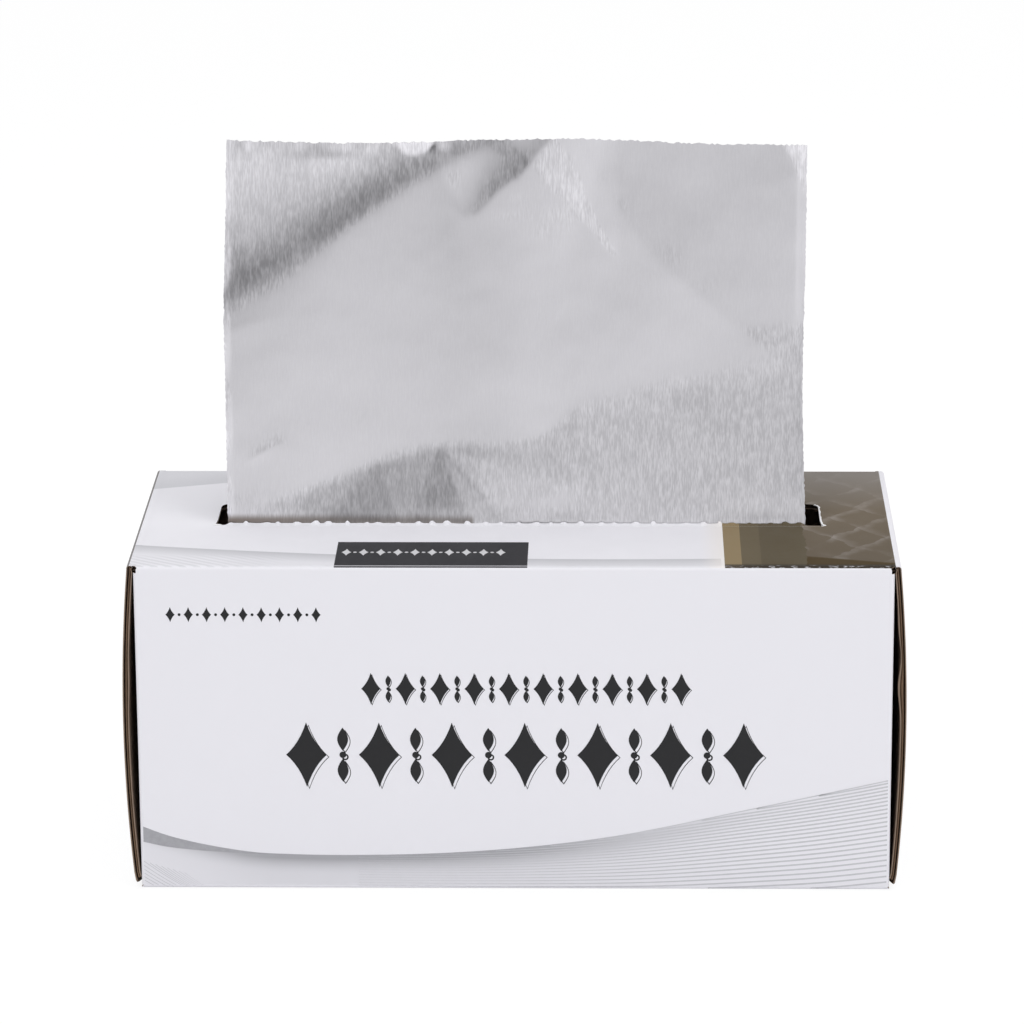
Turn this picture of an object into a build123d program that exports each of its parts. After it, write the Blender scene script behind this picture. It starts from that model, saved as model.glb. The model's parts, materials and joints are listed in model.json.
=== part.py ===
# Hair foil roll: foil wound on a paper tube, lying in a folded board carton,
# with its first sheet pulled up through the slot in the carton's top.
# Millimetres. +Z is up, the front faces -Y, and the origin is the middle of the carton's base.
import os
from math import asin, atan2, cos, degrees, radians, sin, sqrt
from build123d import *

os.makedirs("parts", exist_ok=True)

# Foil: the wound roll and the sheet that stands above the slot
foil_width = 127.0
roll_diameter = 62.6
foil_layer = 0.3  # one layer as modelled, because the real 0.015 mm is too thin for a solid
sheet_height = 84.0  # along the sheet, from the slot to its torn edge
sheet_lean = 13.0  # degrees from upright, towards the back
sheet_crease = 3.0  # how far the creases push the sheet out of flat
bend_radius = 5.0  # where the sheet turns up under the slot
bend_drop = 0.8  # the bend lies this far below the top panel
groove_width = 0.5  # of the grooves between slipped turns at the roll's ends
groove_depth = 0.4

# Paper tube
core_diameter = 32.0
core_wall = 2.0
core_proud = 1.0  # the tube stands this far out of the winding at each end
wind_gap = 0.15  # between the tube and the first turn

# Carton: fine-fluted board
board = 1.3
fold_radius = 0.9  # outside of the four long folds
end_round = 0.4  # outside of the folds and cut edges at the ends
roll_room = 8.4  # free height and depth round the roll
end_room = 16.65  # free length from the winding to the dust flaps
rest_gap = 0.3  # between the roll and the board it lies on
glue_strip_height = 13.0
glue_strip_inset = 4.0  # from the dust flaps

# Slot in the top panel
slot_setback = 30.3  # from the front face to the slot's front lip
slot_width = 16.7
slot_end_room = 2.9  # past each edge of the sheet
slot_shift = 0.5  # the slot lies this far right of the middle
slot_corner = 2.6
tooth_pitch = 3.7  # torn ties of the perforation along the front lip
tooth_base = 1.4
tooth_height = 0.9
tear_tip = 0.8  # small tears at the slot's front corners
lip_gap = 0.3  # between those ties and the sheet

# Dust flaps, folded in at the ends
dust_reach = 29.0  # from the carton's outer face
dust_taper = 5.0
dust_top_room = 2.0
dust_tuck_room = 1.2

# Closing flaps
hinge_gap = 0.1  # crease between a flap and the end of the carton
flap_side_room = 0.5
flap_bow = 1.7  # the flaps bulge outward by this
flap_foot = 0.6  # their lower edge above the base
tuck_gap = 0.15
tuck_roll_room = 3.2  # from the tuck tab to the paper tube
tuck_side_room = 2.0
tuck_corner = 8.0
tuck_rise = 7.0  # degrees that the tab slopes up inward

cut_overrun = 1.0

# Sizes of the carton that follow from the roll
depth = roll_diameter + roll_room + 2 * board
height = roll_diameter + roll_room + 2 * board
front_length = foil_width + 2 * (end_room + board)
inner_half_depth = depth / 2 - board
roll_radius = roll_diameter / 2
bore_radius = core_diameter / 2 + wind_gap
roll_y = inner_half_depth - roll_radius - rest_gap
roll_z = board + rest_gap + roll_radius
slot_front = slot_setback - depth / 2
slot_length = foil_width + 2 * slot_end_room

# Directions and places in the plane of the roll's end, as (y, z)
lean = radians(sheet_lean)
sheet_up = Vector(sin(lean), cos(lean))
bend_y = slot_front + tooth_height + lip_gap + foil_layer / 2
bend = Vector(bend_y, height - board - bend_drop)
roll_centre = Vector(roll_y, roll_z)
to_centre = roll_centre - bend
centre_angle = atan2(to_centre.Y, to_centre.X)
tangent_angle = centre_angle - asin((roll_radius - foil_layer / 2) / to_centre.length)
run_up = Vector(-cos(tangent_angle), -sin(tangent_angle))
run_front = Vector(-run_up.Y, run_up.X)
sheet_front = Vector(-sheet_up.Y, sheet_up.X)
half_turn = run_up.get_angle(sheet_up) / 2
corner_push = (run_front + sheet_front).normalized() * (foil_layer / 2 / cos(radians(half_turn)))
leave = roll_centre + run_front * roll_radius
under_run = sqrt(roll_radius**2 - (roll_radius - foil_layer) ** 2)
meet = roll_centre + run_front * (roll_radius - foil_layer) + run_up * under_run
foot = bend + sheet_up * ((height - bend.Y) / sheet_up.Y)
half_layer = sheet_front * (foil_layer / 2)

# Creases of the standing sheet. Each corner has its share of the width from the middle,
# its share of the height, and its share of the crease depth, positive towards the front.
crease_shares = {
    "foot_left": (-0.5, 0.0, 0.0),
    "foot_inner_left": (-0.2, 0.0, 0.0),
    "foot_inner_right": (-0.06, 0.0, 0.0),
    "foot_right": (0.5, 0.0, 0.0),
    "low_left": (-0.25, 0.16, 0.25),
    "peak": (-0.13, 0.2, 0.5),
    "low_middle": (0.02, 0.21, 0.3),
    "right_edge": (0.495, 0.36, -0.2),
    "left_edge": (-0.506, 0.58, 0.2),
    "ridge": (0.16, 0.74, 0.45),
    "right_bend": (0.39, 0.5, 0.15),
    "band_top": (-0.03, 0.95, 0.3),
    "top_left": (-0.5, 1.0, -0.8),
    "top_middle": (-0.01, 1.0, -0.1),
    "top_ridge": (0.075, 1.005, 0.35),
    "top_right": (0.502, 0.987, -0.4),
}
sheet_facets = (
    ("foot_left", "foot_inner_left", "low_left"),
    ("foot_inner_left", "peak", "low_left"),
    ("foot_inner_left", "foot_inner_right", "peak"),
    ("foot_inner_right", "low_middle", "peak"),
    ("foot_inner_right", "foot_right", "low_middle"),
    ("foot_right", "right_edge", "low_middle"),
    ("foot_left", "low_left", "left_edge"),
    ("low_left", "peak", "left_edge"),
    ("peak", "band_top", "left_edge"),
    ("peak", "low_middle", "band_top"),
    ("low_middle", "ridge", "band_top"),
    ("low_middle", "right_bend", "ridge"),
    ("low_middle", "right_edge", "right_bend"),
    ("right_edge", "top_right", "right_bend"),
    ("right_bend", "top_right", "ridge"),
    ("ridge", "top_right", "top_ridge"),
    ("ridge", "top_ridge", "band_top"),
    ("band_top", "top_ridge", "top_middle"),
    ("band_top", "top_middle", "top_left"),
    ("left_edge", "band_top", "top_left"),
)
# Where slipped turns show at the roll's ends, from the outside in to the bore
turn_shares = (0.81, 0.52, 0.35, 0.12)


def sheet_corner(name):
    """Back surface of the standing sheet at a named corner of its creases."""
    across_share, up_share, crease_share = crease_shares[name]
    push = sheet_crease * crease_share
    place = foot - half_layer + sheet_up * (sheet_height * up_share) + sheet_front * push
    return Vector(foil_width * across_share, place.X, place.Y)


# Wound foil with its first sheet
with BuildPart() as foil:
    with BuildSketch(Plane.YZ):
        with BuildLine():
            FilletPolyline(leave, bend + corner_push, foot + half_layer, radius=bend_radius)
            Line(foot + half_layer, foot - half_layer)
            FilletPolyline(
                foot - half_layer, bend - corner_push, meet, radius=bend_radius + foil_layer
            )
            meet_angle = degrees(atan2(meet.Y - roll_z, meet.X - roll_y))
            leave_angle = degrees(atan2(leave.Y - roll_z, leave.X - roll_y))
            CenterArc(roll_centre, roll_radius, meet_angle, (leave_angle - meet_angle) % 360 - 360)
        make_face()
        with Locations(roll_centre):
            Circle(bore_radius, mode=Mode.SUBTRACT)
    extrude(amount=foil_width / 2, both=True)

    # Slipped turns at both ends
    for end in (-1, 1):
        with BuildSketch(Plane.YZ.offset(end * foil_width / 2)):
            with Locations(roll_centre):
                for share in turn_shares:
                    groove_radius = bore_radius + share * (roll_radius - bore_radius)
                    Circle(groove_radius + groove_width)
                    Circle(groove_radius, mode=Mode.SUBTRACT)
        extrude(amount=-end * groove_depth, mode=Mode.SUBTRACT)

    # Standing sheet, a thin prism on each flat between the creases
    for corners in sheet_facets:
        outline = Wire.make_polygon([sheet_corner(name) for name in corners], close=True)
        front = Vector(0, sheet_front.X, sheet_front.Y)
        extrude(to_extrude=Face(outline), amount=foil_layer, dir=front)
foil.part.label = "foil"

# Paper tube inside the winding
with BuildPart() as core_tube:
    with BuildSketch(Plane.YZ):
        with Locations(roll_centre):
            Circle(core_diameter / 2)
            Circle(core_diameter / 2 - core_wall, mode=Mode.SUBTRACT)
    extrude(amount=foil_width / 2 + core_proud, both=True)
core_tube.part.label = "core_tube"

# Carton: sleeve of four panels, glue strip, dust flaps and slot
with BuildPart() as carton:
    with BuildSketch(Plane.YZ):
        with Locations((0, height / 2)):
            RectangleRounded(depth, height, fold_radius)
            Rectangle(depth - 2 * board, height - 2 * board, mode=Mode.SUBTRACT)
    extrude(amount=front_length / 2, both=True)
    end_outlines = carton.faces().filter_by(Axis.X)
    fillet([face.outer_wire().edges() for face in end_outlines], radius=end_round)

    # Glue strip, up from the bottom panel inside the back
    strip_length = front_length - 2 * (board + glue_strip_inset)
    with BuildSketch(Plane.XZ.offset(-inner_half_depth)):
        with Locations((0, board)):
            Rectangle(strip_length, glue_strip_height, align=(Align.CENTER, Align.MIN))
    extrude(amount=board)

    # Dust flaps, two at each end
    dust_low = board + tuck_gap + board + dust_tuck_room
    dust_high = height - board - dust_top_room
    dust_tip = depth / 2 - dust_reach
    for end in (-1, 1):
        with BuildSketch(Plane.YZ.offset(end * front_length / 2)):
            for side in (-1, 1):
                with BuildLine():
                    Polyline(
                        (side * inner_half_depth, dust_low),
                        (side * dust_tip, dust_low + dust_taper),
                        (side * dust_tip, dust_high - dust_taper),
                        (side * inner_half_depth, dust_high),
                        close=True,
                    )
                make_face()
        extrude(amount=-end * board)

    # Slot, with the torn ties of its perforation along the front lip
    with BuildSketch(Plane.XY.offset(height + cut_overrun)) as slot:
        with Locations((slot_shift, slot_front)):
            Rectangle(slot_length, slot_width, align=(Align.CENTER, Align.MIN))
        fillet(slot.vertices().group_by(Axis.Y)[-1], radius=slot_corner)
        for end in (-1, 1):
            with Locations((slot_shift + end * slot_length / 2, slot_front)):
                Polygon((0, 0), (end * tear_tip, tear_tip), (0, 2 * tear_tip), align=None)
        with Locations((slot_shift, slot_front)):
            tooth_count = int(slot_length / tooth_pitch)
            with GridLocations(tooth_pitch, 0, tooth_count, 1):
                Polygon(
                    (-tooth_base / 2, 0),
                    (tooth_base / 2, 0),
                    (0, tooth_height),
                    align=None,
                    mode=Mode.SUBTRACT,
                )
    extrude(amount=-(board + 2 * cut_overrun), mode=Mode.SUBTRACT)
carton.part.label = "carton"

# Closing flaps: a bowed panel under its hinge crease, and a tuck tab above the bottom panel
hinge_x = front_length / 2 + hinge_gap + board / 2
hinge_z = height - board / 2
panel_foot = flap_foot + board / 2
end_flaps = []
for end, flap_name in ((-1, "end_flap_left"), (1, "end_flap_right")):
    with BuildPart() as end_flap:
        with BuildSketch(Plane.XZ):
            with BuildLine():
                ThreePointArc(
                    (end * hinge_x, hinge_z),
                    (end * (hinge_x + flap_bow), (hinge_z + panel_foot) / 2),
                    (end * hinge_x, panel_foot),
                )
                offset(amount=board / 2)
            make_face()
        extrude(amount=depth / 2 - flap_side_room, both=True)

        tab_rise = radians(tuck_rise)
        tab_start = (end * hinge_x, 0, board + tuck_gap)
        tab_in = (-end * cos(tab_rise), 0, sin(tab_rise))
        tab_up = (end * sin(tab_rise), 0, cos(tab_rise))
        tab_length = end_room + board + hinge_gap + board / 2 - core_proud - tuck_roll_room
        tab_width = 2 * (inner_half_depth - tuck_side_room)
        with BuildSketch(Plane(tab_start, x_dir=tab_in, z_dir=tab_up)) as tab:
            Rectangle(tab_length, tab_width, align=(Align.MIN, Align.CENTER))
            fillet(tab.vertices().group_by(Axis.X)[0 if end > 0 else -1], radius=tuck_corner)
        extrude(amount=board)
    end_flap.part.label = flap_name
    end_flaps.append(end_flap.part)

for part in (foil.part, core_tube.part, carton.part, *end_flaps):
    export_step(part, f"parts/{part.label}.step")
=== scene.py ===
"""Looks of the hair foil roll in its dispensing carton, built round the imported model.

Everything is in metres, with the carton's front towards -Y and the origin in the middle of its base.
The file is laid out as an add-on, with one operator for each piece or group of like pieces, and one for
the stage.
"""

import json
from math import atan2, cos, pi, radians, sin, sqrt

import bmesh
import bpy
import numpy as np
from bpy.props import FloatProperty, FloatVectorProperty, PointerProperty
from mathutils import Matrix, Vector
from mathutils.geometry import tessellate_polygon


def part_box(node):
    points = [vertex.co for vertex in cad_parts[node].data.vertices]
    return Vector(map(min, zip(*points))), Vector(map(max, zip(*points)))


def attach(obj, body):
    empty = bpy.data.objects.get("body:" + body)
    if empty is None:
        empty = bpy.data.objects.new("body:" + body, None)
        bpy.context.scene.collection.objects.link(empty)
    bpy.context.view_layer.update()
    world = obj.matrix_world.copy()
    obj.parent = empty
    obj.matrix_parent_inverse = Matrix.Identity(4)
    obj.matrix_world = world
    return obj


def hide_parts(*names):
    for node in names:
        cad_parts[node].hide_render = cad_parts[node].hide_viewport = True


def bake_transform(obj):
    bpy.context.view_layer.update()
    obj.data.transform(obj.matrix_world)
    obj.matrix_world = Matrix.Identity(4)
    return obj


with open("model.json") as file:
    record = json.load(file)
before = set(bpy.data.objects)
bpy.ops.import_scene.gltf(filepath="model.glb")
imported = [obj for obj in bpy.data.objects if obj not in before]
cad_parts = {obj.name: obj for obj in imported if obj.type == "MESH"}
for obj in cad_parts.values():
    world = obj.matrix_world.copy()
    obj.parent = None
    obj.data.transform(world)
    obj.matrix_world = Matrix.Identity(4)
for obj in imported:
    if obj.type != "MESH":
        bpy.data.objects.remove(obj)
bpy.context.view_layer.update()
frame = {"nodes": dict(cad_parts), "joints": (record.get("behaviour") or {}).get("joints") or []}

bl_info = {
    "name": "Hair Foil Roll",
    "version": (1, 0, 0),
    "blender": (4, 5, 0),
    "location": "View3D > Sidebar > Foil Roll",
    "description": "Builds the carton, its print, the wound foil and the standing sheet",
    "category": "Add Mesh",
}

MM = 0.001

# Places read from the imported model
CARTON_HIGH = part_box("carton")[1]
HALF_LENGTH = CARTON_HIGH.x
HALF_DEPTH = CARTON_HIGH.y
HEIGHT = CARTON_HIGH.z
TUBE_LOW, TUBE_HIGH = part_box("core_tube")
ROLL_Y = (TUBE_LOW.y + TUBE_HIGH.y) / 2
ROLL_Z = (TUBE_LOW.z + TUBE_HIGH.z) / 2
TUBE_RADIUS = (TUBE_HIGH.z - TUBE_LOW.z) / 2
ROLL_RADIUS = ROLL_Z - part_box("foil")[0].z
FLAP_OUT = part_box("end_flap_right")[1].x
FLAP_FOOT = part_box("end_flap_right")[0].z
FLAP_HALF_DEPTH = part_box("end_flap_right")[1].y
HINGES = {joint["child"]: Vector(joint["pos_m"]) for joint in frame["joints"]}

# Seeds of the small irregularities
TIE_SEED, LIP_SEED, RIM_SEED = 5, 12, 14
FLAP_SEEDS = {-1: 3, 1: 8}
WRINKLE_SEED, CRINKLE_SEED, FLECK_SEED, SIDE_SEED = 21, 22, 9, 4
WINDING_SEED = 17


class BoardSettings(bpy.types.PropertyGroup):
    """Sizes and colours of the fluted board."""

    thickness: FloatProperty(
        name="Board", description="Thickness of the board", default=1.3 * MM, unit="LENGTH"
    )
    flute_pitch: FloatProperty(
        name="Flute pitch", description="Distance from flute to flute", default=2.4 * MM, unit="LENGTH"
    )
    fold_radius: FloatProperty(
        name="Long folds", description="Outside radius of the four long folds", default=0.9 * MM,
        unit="LENGTH",
    )
    end_radius: FloatProperty(
        name="End folds", description="Outside radius of the folds at the ends", default=0.65 * MM,
        unit="LENGTH",
    )
    white: FloatVectorProperty(
        name="White", description="Coated white outside", subtype="COLOR", default=(0.785, 0.779, 0.823)
    )
    kraft: FloatVectorProperty(
        name="Kraft", description="Inner liner and cut edges", subtype="COLOR", default=(0.245, 0.181, 0.135)
    )
    flute: FloatVectorProperty(
        name="Flutes", description="Paper of the flutes", subtype="COLOR", default=(0.20, 0.13, 0.085)
    )


class SlotSettings(bpy.types.PropertyGroup):
    """Sizes of the slot in the top panel."""

    front: FloatProperty(
        name="Front lip", description="Place of the front lip", default=-6.5 * MM, unit="LENGTH"
    )
    width: FloatProperty(
        name="Width", description="From the front lip to the back lip", default=16.7 * MM, unit="LENGTH"
    )
    length: FloatProperty(name="Length", description="Along the carton", default=132.8 * MM, unit="LENGTH")
    shift: FloatProperty(
        name="Shift", description="Middle of the slot, to the right", default=0.5 * MM, unit="LENGTH"
    )
    corner: FloatProperty(
        name="Corners", description="Radius of the two back corners", default=2.6 * MM, unit="LENGTH"
    )
    tie_pitch: FloatProperty(
        name="Ties", description="Distance between the torn ties", default=3.7 * MM, unit="LENGTH"
    )


class FoilSettings(bpy.types.PropertyGroup):
    """Sizes and colours of the foil."""

    width: FloatProperty(name="Width", description="Width of the foil", default=127 * MM, unit="LENGTH")
    height: FloatProperty(
        name="Standing height", description="Along the sheet, above the slot", default=84 * MM, unit="LENGTH"
    )
    lean: FloatProperty(
        name="Lean", description="From upright, towards the back", default=radians(13), subtype="ANGLE"
    )
    thickness: FloatProperty(
        name="Foil", description="Thickness as drawn, so that the edge shows", default=0.06 * MM,
        unit="LENGTH",
    )
    grid: FloatProperty(
        name="Mesh step", description="Distance between mesh points", default=0.56 * MM, unit="LENGTH"
    )
    bright: FloatVectorProperty(
        name="Bright", description="Foil between the rolling lines", subtype="COLOR",
        default=(0.85, 0.84, 0.88),
    )
    dull: FloatVectorProperty(
        name="Dull", description="Foil along the rolling lines", subtype="COLOR",
        default=(0.80, 0.79, 0.83),
    )


class PrintSettings(bpy.types.PropertyGroup):
    """Colours of the print."""

    charcoal: FloatVectorProperty(
        name="Charcoal", description="Ornaments and the label", subtype="COLOR",
        default=(0.017, 0.017, 0.019),
    )
    pale: FloatVectorProperty(
        name="Pale", description="Ornaments on the label", subtype="COLOR", default=(0.62, 0.62, 0.64)
    )
    grey: FloatVectorProperty(
        name="Grey", description="Curved stripes", subtype="COLOR", default=(0.60, 0.60, 0.635)
    )
    line: FloatVectorProperty(
        name="Fine lines", description="Fine lines of the front", subtype="COLOR",
        default=(0.54, 0.54, 0.57),
    )
    stripe: FloatVectorProperty(
        name="Dark stripe", description="Stripe at the front's left", subtype="COLOR",
        default=(0.36, 0.36, 0.385),
    )
    gold: FloatVectorProperty(
        name="Gold", description="Narrow band on the top", subtype="COLOR", default=(0.250, 0.189, 0.104)
    )
    brown: FloatVectorProperty(
        name="Brown", description="Plain brown field on the top", subtype="COLOR",
        default=(0.096, 0.077, 0.046),
    )
    taupe: FloatVectorProperty(
        name="Taupe", description="Quilted field on the top", subtype="COLOR",
        default=(0.146, 0.114, 0.078),
    )


class StageSettings(bpy.types.PropertyGroup):
    """Light of the stage."""

    world: FloatProperty(
        name="Room light", description="Light from all round", default=0.62, min=0
    )
    key: FloatProperty(name="Key lamp", description="Power of the big front lamp", default=5.2, unit="POWER")
    fill: FloatProperty(name="Fill lamp", description="Power of the side lamp", default=4.0, unit="POWER")
    top: FloatProperty(name="Top lamp", description="Power of the lamp overhead", default=7.8, unit="POWER")
    shade: FloatProperty(
        name="Ring", description="Darkness of the high ring that metal mirrors", default=0.72, min=0, max=1
    )


def settings():
    """All the settings of the scene."""
    return bpy.context.scene.foil_roll


class FoilRollSettings(bpy.types.PropertyGroup):
    """The settings of every group of pieces."""

    board: PointerProperty(type=BoardSettings)
    slot: PointerProperty(type=SlotSettings)
    foil: PointerProperty(type=FoilSettings)
    inks: PointerProperty(type=PrintSettings)
    stage: PointerProperty(type=StageSettings)


# Small helpers for shapes


def smooth_step(value, low, high):
    """0 below low, 1 above high, smooth between them."""
    share = np.clip((value - low) / (high - low), 0, 1)
    return share * share * (3 - 2 * share)


def smooth_line(points, at):
    """A smooth curve through a few points (x, y), read at the places in at."""
    xs, ys = np.array(points, float).T
    slopes = np.gradient(ys, xs)
    index = np.clip(np.searchsorted(xs, at) - 1, 0, len(xs) - 2)
    span = xs[index + 1] - xs[index]
    share = np.clip((at - xs[index]) / span, 0, 1)
    start = ys[index] * (2 * share**3 - 3 * share**2 + 1) + ys[index + 1] * (3 * share**2 - 2 * share**3)
    turn = slopes[index] * (share**3 - 2 * share**2 + share) + slopes[index + 1] * (share**3 - share**2)
    return start + turn * span


def blur(field, sigma):
    """Gaussian blur of a grid, sigma in grid steps."""
    reach = int(3 * sigma) + 1
    weights = np.exp(-0.5 * (np.arange(-reach, reach + 1) / sigma) ** 2)
    weights /= weights.sum()
    for axis in (0, 1):
        padded = np.pad(field, [(reach, reach) if a == axis else (0, 0) for a in (0, 1)], mode="edge")
        field = np.apply_along_axis(lambda line: np.convolve(line, weights, "valid"), axis, padded)
    return field


def steps(low, high, step):
    """Even places from low to high, about step apart."""
    return np.linspace(low, high, max(2, int(round(abs(high - low) / step)) + 1))


class Parts:
    """Collects closed forms into one mesh."""

    def __init__(self):
        self.points, self.faces, self.materials = [], [], []
        self.count = 0

    def add(self, points, faces, material):
        points = np.asarray(points, float).reshape(-1, 3)
        self.points.append(points)
        faces = [tuple(int(i) + self.count for i in face) for face in faces]
        self.faces += faces
        self.materials += list(material) if hasattr(material, "__len__") else [material] * len(faces)
        self.count += len(points)

    def shell(self, front, back, materials=(0, 0, 0)):
        """A closed sheet between two grids of points. Materials are for front, back and rim."""
        rows, columns = front.shape[:2]
        index = np.arange(rows * columns).reshape(rows, columns)
        under = rows * columns
        quads = np.stack(
            [index[:-1, :-1], index[:-1, 1:], index[1:, 1:], index[1:, :-1]], axis=-1
        ).reshape(-1, 4)
        border = np.concatenate([index[0, :-1], index[:-1, -1], index[-1, :0:-1], index[:0:-1, 0]])
        ahead = np.roll(border, -1)
        rim = np.stack([border, border + under, ahead + under, ahead], axis=-1)
        faces = [*quads, *(quads[:, ::-1] + under), *rim]
        ids = [materials[0]] * len(quads) + [materials[1]] * len(quads) + [materials[2]] * len(rim)
        self.add(np.concatenate([front.reshape(-1, 3), back.reshape(-1, 3)]), faces, ids)

    def prism(self, outlines, place, near, far, materials=(0, 0, 0)):
        """A closed plate from a flat outline and its holes, between two depths."""
        loops = [[Vector((a, b, 0)) for a, b in outline] for outline in outlines]
        flat = [(a, b) for outline in outlines for a, b in outline]
        under = len(flat)
        triangles = tessellate_polygon(loops)
        points = [place(a, b, near) for a, b in flat] + [place(a, b, far) for a, b in flat]
        faces = [tuple(t) for t in triangles] + [tuple(i + under for i in reversed(t)) for t in triangles]
        ids = [materials[0]] * len(triangles) + [materials[1]] * len(triangles)
        start = 0
        for outline in outlines:
            size = len(outline)
            for i in range(size):
                a, b = start + i, start + (i + 1) % size
                faces.append((a, a + under, b + under, b))
            ids += [materials[2]] * size
            start += size
        self.add(points, faces, ids)

    def ring(self, grid, material=0):
        """A closed form whose rows and columns both run round."""
        rows, columns = grid.shape[:2]
        index = np.arange(rows * columns).reshape(rows, columns)
        right, down = np.roll(index, -1, axis=1), np.roll(index, -1, axis=0)
        quads = np.stack([index, right, np.roll(right, -1, axis=0), down], axis=-1).reshape(-1, 4)
        self.add(grid.reshape(-1, 3), quads, material)

    def build(self, name, materials, body, slot, sharp=radians(40)):
        """Makes the object, gives it its finish and lets it ride on a body."""
        if not self.points:
            raise RuntimeError(f"{name} has no shape")
        mesh = bpy.data.meshes.new(name)
        mesh.from_pydata(np.concatenate(self.points).tolist(), [], self.faces)
        for material in materials:
            mesh.materials.append(material)
        mesh.polygons.foreach_set("material_index", self.materials)
        mesh.validate()
        face_outward(mesh)
        mesh.polygons.foreach_set("use_smooth", [True] * len(mesh.polygons))
        mesh.set_sharp_from_angle(angle=sharp)
        piece = bpy.data.objects.new(name, mesh)
        bpy.context.scene.collection.objects.link(piece)
        if body:
            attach(piece, body)
        return piece


def face_outward(mesh):
    """Turns every face of a closed mesh outward."""
    work = bmesh.new()
    work.from_mesh(mesh)
    bmesh.ops.recalc_face_normals(work, faces=work.faces)
    work.to_mesh(mesh)
    work.free()


# Materials

# Grain of the finishes, in features per metre
PAPER_FIBRE, PAPER_CLOUD, INK_FIBRE, TORN_FIBRE = 900, 90, 800, 1500
KRAFT_FIBRE, KRAFT_CLOUD, TUBE_FIBRE = 420, 60, 380
FOIL_LINE, FOIL_BROAD, FOIL_CLOUD, FOIL_DENT = 3300, 900, 26, 160

# The paper tube: how far along it one wound strip reaches, where its seam begins, and its colour
TUBE_STRIP, SEAM_FROM, TUBE_PAPER = 42 * MM, 0.485, (0.34, 0.245, 0.17)


def new_material(name):
    """A material with a Principled shader, its node tree and that shader."""
    material = bpy.data.materials.new(name)
    material.use_nodes = True
    tree = material.node_tree
    return material, tree, tree.nodes["Principled BSDF"]


def put(tree, kind, inputs=None, **values):
    """Adds a node. Inputs take a number, a colour or another node's output."""
    made = tree.nodes.new(kind)
    for name, value in values.items():
        setattr(made, name, value)
    for key, value in (inputs or {}).items():
        if isinstance(value, bpy.types.NodeSocket):
            tree.links.new(value, made.inputs[key])
        else:
            made.inputs[key].default_value = value
    return made


def maths(tree, operation, first, second=0.0, clamp=False):
    """One step of arithmetic, as an output."""
    node = put(tree, "ShaderNodeMath", {0: first, 1: second}, operation=operation, use_clamp=clamp)
    return node.outputs[0]


def plus(tree, first, second):
    """The sum of two values."""
    return maths(tree, "ADD", first, second)


def minus(tree, first, second):
    """One value less another."""
    return maths(tree, "SUBTRACT", first, second)


def times(tree, first, *others):
    """The product of two or more values."""
    for other in others:
        first = maths(tree, "MULTIPLY", first, other)
    return first


def object_coordinates(tree):
    """Object coordinates, in metres."""
    return put(tree, "ShaderNodeTexCoord").outputs["Object"]


def object_place(tree):
    """Object coordinates and their x, y and z, in metres."""
    coordinates = object_coordinates(tree)
    split = put(tree, "ShaderNodeSeparateXYZ", {0: coordinates})
    return coordinates, split.outputs[0], split.outputs[1], split.outputs[2]


def noise(tree, coordinates, scale, detail=3.0, stretch=(1, 1, 1), roughness=0.55):
    """Noise in object space. Scale is features per metre, stretch is for each axis."""
    mapped = put(tree, "ShaderNodeMapping", {"Vector": coordinates, "Scale": stretch}).outputs[0]
    made = put(
        tree, "ShaderNodeTexNoise",
        {"Vector": mapped, "Scale": scale, "Detail": detail, "Roughness": roughness},
    )
    return made.outputs["Fac"]


def remap(tree, value, low, high, to_low=0.0, to_high=1.0, smooth=False):
    """Maps a range of values to another, clamped."""
    node = put(
        tree, "ShaderNodeMapRange",
        {"Value": value, "From Min": low, "From Max": high, "To Min": to_low, "To Max": to_high},
        interpolation_type="SMOOTHSTEP" if smooth else "LINEAR",
    )
    return node.outputs[0]


def mix(tree, share, first, second):
    """Mixes two colours."""
    node = put(tree, "ShaderNodeMix", data_type="RGBA")
    for socket, value in ((node.inputs[0], share), (node.inputs[6], first), (node.inputs[7], second)):
        if isinstance(value, bpy.types.NodeSocket):
            tree.links.new(value, socket)
        else:
            socket.default_value = value if not hasattr(value, "__len__") else rgba(value)
    return node.outputs[2]


def rgba(colour, level=1.0):
    """A colour with its alpha, made darker or lighter by level."""
    return (colour[0] * level, colour[1] * level, colour[2] * level, 1.0)


def bump(tree, shader, height, strength, distance):
    """Bump from a height, on top of any bump that is there."""
    node = put(
        tree, "ShaderNodeBump", {"Height": height, "Strength": strength, "Distance": distance}
    )
    if shader.inputs["Normal"].is_linked:
        tree.links.new(shader.inputs["Normal"].links[0].from_socket, node.inputs["Normal"])
    tree.links.new(node.outputs[0], shader.inputs["Normal"])


def clouded_white(tree, cloud):
    """The board's white, a little uneven."""
    white = settings().board.white
    return mix(tree, remap(tree, cloud, 0.3, 0.7), rgba(white, 0.985), rgba(white, 1.015))


def paper_grain(tree, shader, fibre):
    """The faint relief of smooth paper."""
    bump(tree, shader, fibre, 0.12, 0.02 * MM)


def coated_white():
    """Coated white paper, with the faint cloud of its fibres and the board's gentle unevenness."""
    material, tree, shader = new_material("coated_white")
    coordinates = object_coordinates(tree)
    cloud = noise(tree, coordinates, PAPER_CLOUD, 4)
    fibre = noise(tree, coordinates, PAPER_FIBRE, 5, roughness=0.7)
    white = settings().board.white
    colour = mix(tree, remap(tree, fibre, 0.35, 0.65), clouded_white(tree, cloud), rgba(white, 1.01))
    tree.links.new(colour, shader.inputs["Base Color"])
    tree.links.new(remap(tree, cloud, 0.2, 0.8, 0.42, 0.55), shader.inputs["Roughness"])
    shader.inputs["Specular IOR Level"].default_value = 0.35
    paper_grain(tree, shader, fibre)
    bump(tree, shader, noise(tree, coordinates, 45, 2), 0.25, 0.12 * MM)
    return material


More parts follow.
